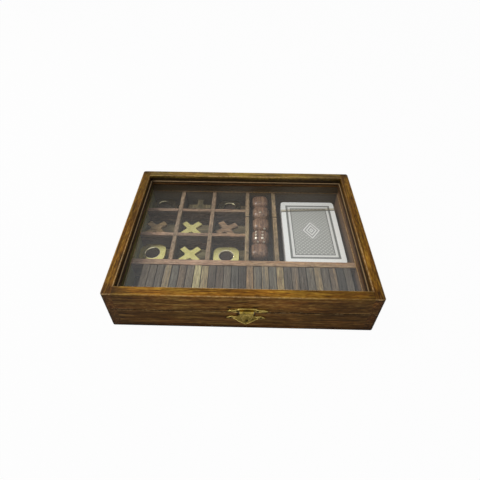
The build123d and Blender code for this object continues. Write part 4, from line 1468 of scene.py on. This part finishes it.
@dataclass
class Hardware:
    """Hinges behind and the pressed latch in front."""

    joinery: Joinery
    plate_x: float = 4.7
    plate_z: float = 26.4
    keeper_x: float = 3.2
    stud_z: float = 15.1
    hasp_x: float = 4.0
    plate_face: float = -87.3
    hasp_face: float = -88.5
    hinge_parts: tuple[str, ...] = (
        "hinge_left_base_leaf", "hinge_right_base_leaf", "hinge_left_lid_leaf", "hinge_right_lid_leaf",
        "hinge_base_nails", "hinge_lid_nails",
    )
    latch_parts: tuple[str, ...] = ("latch_plate", "latch_keeper", "latch_hasp")
    # Parts dressed near-black: painted shade for the nail holes and under the stud.
    painted_shade_parts: tuple[str, ...] = ("latch_plate_nails", "latch_keeper_nails", "latch_stud")

    def build(self) -> None:
        """Dress the metal parts and raise the relief of the latch."""
        hinge = Brass("hinge_brass", "BFA052", "6F5A2A", cell=(6, 6, 0.4), roughness=0.4, tarnished=0.6, seed=14)
        self.joinery.dress(self.hinge_parts, hinge)
        latch = Brass("latch_brass", "C9AE55", "5A4A14", cell=(1.4, 1.4, 1.0), roughness=0.30, tarnished=0.75, seed=15)
        self.joinery.dress(self.latch_parts, latch)
        # Painted shade: the nails and the stud are dark to stand for the holes and the stud's shadow.
        dark = Brass("latch_painted_shade", "5A4B16", "241C08", cell=(1, 1, 1), roughness=0.5, metal=0.7, seed=16)
        self.joinery.dress(self.painted_shade_parts, dark)
        self.joinery.dress(["hinge_pins", "latch_pin"], Steel("pivot_steel"))
        ridge = Brass("latch_ridge", "E8CF7C", "9A8434", cell=(1, 1, 1), roughness=0.26, tarnished=0.45, seed=17)
        bright = ridge.material()
        self._raise_plate(bright)
        self._raise_keeper(bright)
        self._raise_hasp(bright)

    def _ridges(
        self,
        name: str,
        paths: Sequence[tuple[Sequence[Spot], float]],
        face: float,
        metal: bpy.types.Material,
        body: Body,
    ) -> None:
        """Build ridges along paths, each with its half width, as one piece."""
        form = bmesh.new()
        for points, half in paths:
            add_ridge(form, points, face, half, min(0.55, half * 1.2))
        self.joinery.piece(name, form, metal, body, "latch_brass", sharp=70.0)

    @staticmethod
    def _laid(middle_x: float, middle_z: float, side: int, points: Sequence[Spot]) -> list[Spot]:
        """Lay a path out from a middle, to the right for side 1 and mirrored for -1."""
        return [(middle_x + side * x, middle_z + z) for x, z in points]

    def _raise_plate(self, metal: bpy.types.Material) -> None:
        """Raise the rim, the nail rings and the end scrolls of the lid plate."""
        bows = (((7.2, 3.4), (9.2, 2.2)), ((11.1, 1.8), (12.6, 1.9)), ((14.6, 1.6), (16.6, 0.5)))
        edge = [(0.0, 3.8), *swept((5.2, 3.8), *bows)]
        heel = swept((7.0, -0.5), ((9.8, -0.7), (12.4, -0.2)))
        paths = []
        for side in (-1, 1):
            paths.append((self._laid(self.plate_x, self.plate_z, side, edge), 0.38))
            paths.append((self._laid(self.plate_x, self.plate_z, side, heel), 0.32))
            eye_x, eye_z = self.plate_x + side * 12.6, self.plate_z + 0.9
            paths.append((scroll_points(eye_x, eye_z, 1.15, 1.1, 90, -side), 0.26))
            nail_x, nail_z = self.plate_x + side * 8.4, self.plate_z + 0.8
            paths.append((ring_points(nail_x, nail_z, 1.45), 0.30))
        self._ridges("latch_plate_relief", paths, self.plate_face, metal, Body.LID)

    def _raise_keeper(self, metal: bpy.types.Material) -> None:
        """Raise the edges, the wing scrolls and the nail rings of the keeper."""
        wing = [*swept((7.6, 4.0), ((9.8, 3.8), (11.2, 4.1)), ((13.2, 4.0), (14.6, 3.2))), (16.2, 2.1)]
        shield = [*swept((10.6, 1.1), ((9.4, 0.5), (8.0, -0.5)), ((4.9, -3.8), (1.5, -6.1))), (0.1, -7.9)]
        paths = []
        for side in (-1, 1):
            paths.append((self._laid(self.keeper_x, self.stud_z, side, wing), 0.34))
            paths.append((self._laid(self.keeper_x, self.stud_z, side, shield), 0.40))
            eye_x, eye_z = self.keeper_x + side * 10.0, self.stud_z + 2.4
            paths.append((scroll_points(eye_x, eye_z, 1.2, 1.2, 0 if side > 0 else 180, side), 0.26))
            paths.append((ring_points(self.keeper_x + side * 12.9, self.stud_z + 2.8, 1.4), 0.28))
        self._ridges("latch_keeper_relief", paths, self.plate_face, metal, Body.BASE)

    def _raise_hasp(self, metal: bpy.types.Material) -> None:
        """Raise the cheeks of the hasp and the ribs across its neck."""
        drop = self.stud_z - self.plate_z
        cheek = [(5.1, -2.6), *swept((5.1, -3.4), ((4.6, -6.6), (3.3, drop + 1.0))), (3.3, drop)]
        paths = []
        for side in (-1, 1):
            paths.append((self._laid(self.hasp_x, self.plate_z, side, cheek), 0.34))
            eye_x, eye_z = self.hasp_x + side * 2.6, self.plate_z - 5.6
            paths.append((scroll_points(eye_x, eye_z, 1.1, 1.0, -90, side), 0.24))
        for level in (-2.5, -3.5):
            neck = [(x, level) for x in (-4.4, -2.0, 0.0, 2.0, 4.4)]
            paths.append((self._laid(self.hasp_x, self.plate_z, 1, neck), 0.26))
        self._ridges("latch_hasp_relief", paths, self.hasp_face, metal, Body.HASP)


# ---------------------------------------------------------------------------
# Stage
# ---------------------------------------------------------------------------
@dataclass(frozen=True)
class FloorPaper(Finish):
    """White paper floor that keeps the shadow of the case."""

    lift: float = 0.97

    def paint(self, graph: NodeGraph) -> Signal:
        """Mix the paper with plain white for the rays from the camera."""
        seen = graph.node("ShaderNodeLightPath", output="Is Camera Ray")
        paper = graph.node("ShaderNodeBsdfDiffuse", inputs={"Color": (0.45, 0.45, 0.45, 1)})
        white = graph.node("ShaderNodeEmission", inputs={"Color": WHITE, "Strength": 1.0})
        return graph.node("ShaderNodeMixShader", inputs={0: seen * self.lift, 1: paper, 2: white})


@dataclass
class Studio:
    """Floor, world, lamp and camera."""

    floor_half: float = 6.0
    floor_height: float = -0.0002
    fill: float = 0.40
    key_power: float = 12.0
    key_size: float = 0.7
    key_place: Point = (-0.75, 0.08, 1.05)
    lens: float = 27.493
    sensor: float = 36.0
    camera_place: Point = (0.00211, -0.26103, 0.28472)
    camera_right: Point = (0.9997004, 0.0244047, 0.0018778)
    camera_up: Point = (-0.0185875, 0.7070093, 0.7069599)

    def build(self) -> None:
        """Set the stage."""
        self._lay_floor()
        self._light_world()
        self._hang_key()
        self._set_camera()
        scene = bpy.context.scene
        scene.view_settings.view_transform = "Standard"

    def _lay_floor(self) -> None:
        """Lay the paper just under the case."""
        form = bmesh.new()
        reach = self.floor_half
        corners = ((-reach, -reach), (reach, -reach), (reach, reach), (-reach, reach))
        form.faces.new([form.verts.new((x, y, self.floor_height)) for x, y in corners])
        mesh = bpy.data.meshes.new("floor_paper")
        form.to_mesh(mesh)
        form.free()
        mesh.materials.append(FloorPaper("floor_paper").material())
        floor = bpy.data.objects.new("floor_paper", mesh)
        bpy.context.scene.collection.objects.link(floor)

    def _light_world(self) -> None:
        """Make soft light for surfaces and a pale room for the camera, metal and glass."""
        world = bpy.data.worlds.new("studio_world")
        bpy.context.scene.world = world
        world.use_nodes = True
        graph = NodeGraph(world.node_tree)
        path = graph.node("ShaderNodeLightPath")
        rays = path.socket.node.outputs
        seen = Signal(graph, rays["Is Camera Ray"])
        glossy, through = Signal(graph, rays["Is Glossy Ray"]), Signal(graph, rays["Is Transmission Ray"])
        mirrored = graph.math("MAXIMUM", glossy, through)
        direction = graph.node("ShaderNodeTexCoord", output="Generated")
        height = Signal(graph, graph.node("ShaderNodeSeparateXYZ", inputs={0: direction}).socket.node.outputs[2])
        stops = [
            (0.0, WHITE), (0.25, WHITE), (0.5, (0.17, 0.16, 0.14, 1)),
            (0.60, (0.23, 0.22, 0.20, 1)), (0.67, (0.56, 0.55, 0.52, 1)), (0.76, (0.72, 0.72, 0.70, 1)),
            (0.86, (0.60, 0.60, 0.59, 1)), (1.0, WHITE),
        ]
        room = graph.ramp(height, stops)
        tint = graph.blend(mirrored, (self.fill, self.fill, self.fill * 1.03, 1), room)
        tint = graph.blend(seen, tint, WHITE)
        glow = graph.node("ShaderNodeBackground", inputs={"Color": tint, "Strength": 1.0})
        graph.node("ShaderNodeOutputWorld", inputs={"Surface": glow})

    def _hang_key(self) -> None:
        """Hang a large soft lamp up on the left, a little behind."""
        lamp = bpy.data.lights.new("key_lamp", "AREA")
        lamp.shape = "DISK"
        lamp.size = self.key_size
        lamp.energy = self.key_power
        lamp.color = (1.0, 0.985, 0.96)
        hung = bpy.data.objects.new("key_lamp", lamp)
        hung.location = self.key_place
        hung.rotation_euler = (-Vector(self.key_place)).to_track_quat("-Z", "Y").to_euler()
        bpy.context.scene.collection.objects.link(hung)

    def _set_camera(self) -> None:
        """Stand the camera in front, looking down at half a right angle."""
        camera = bpy.data.cameras.new("camera")
        camera.lens = self.lens
        camera.sensor_width = self.sensor
        camera.clip_start = 0.01
        held = bpy.data.objects.new("camera", camera)
        right, up = Vector(self.camera_right), Vector(self.camera_up)
        turn = Matrix((right, up, right.cross(up))).transposed()
        held.matrix_world = Matrix.Translation(Vector(self.camera_place)) @ turn.to_4x4()
        bpy.context.scene.collection.objects.link(held)
        bpy.context.scene.camera = held


def main() -> None:
    """Build the sub-assemblies in order and report each of them."""
    logging.basicConfig(level=logging.INFO, format="%(name)s: %(message)s")
    joinery = Joinery(frame["nodes"])
    builders = (Case, Tray, Counters, Dice, DominoRow, CardDeck, Hardware)
    for builder in builders:
        before = len(joinery.made)
        builder(joinery).build()
        LOG.info("%s built, new pieces: %s", builder.__name__, ", ".join(joinery.made[before:]) or "none")
    Studio().build()
    LOG.info("studio set")


if __name__ == "__main__":
    main()
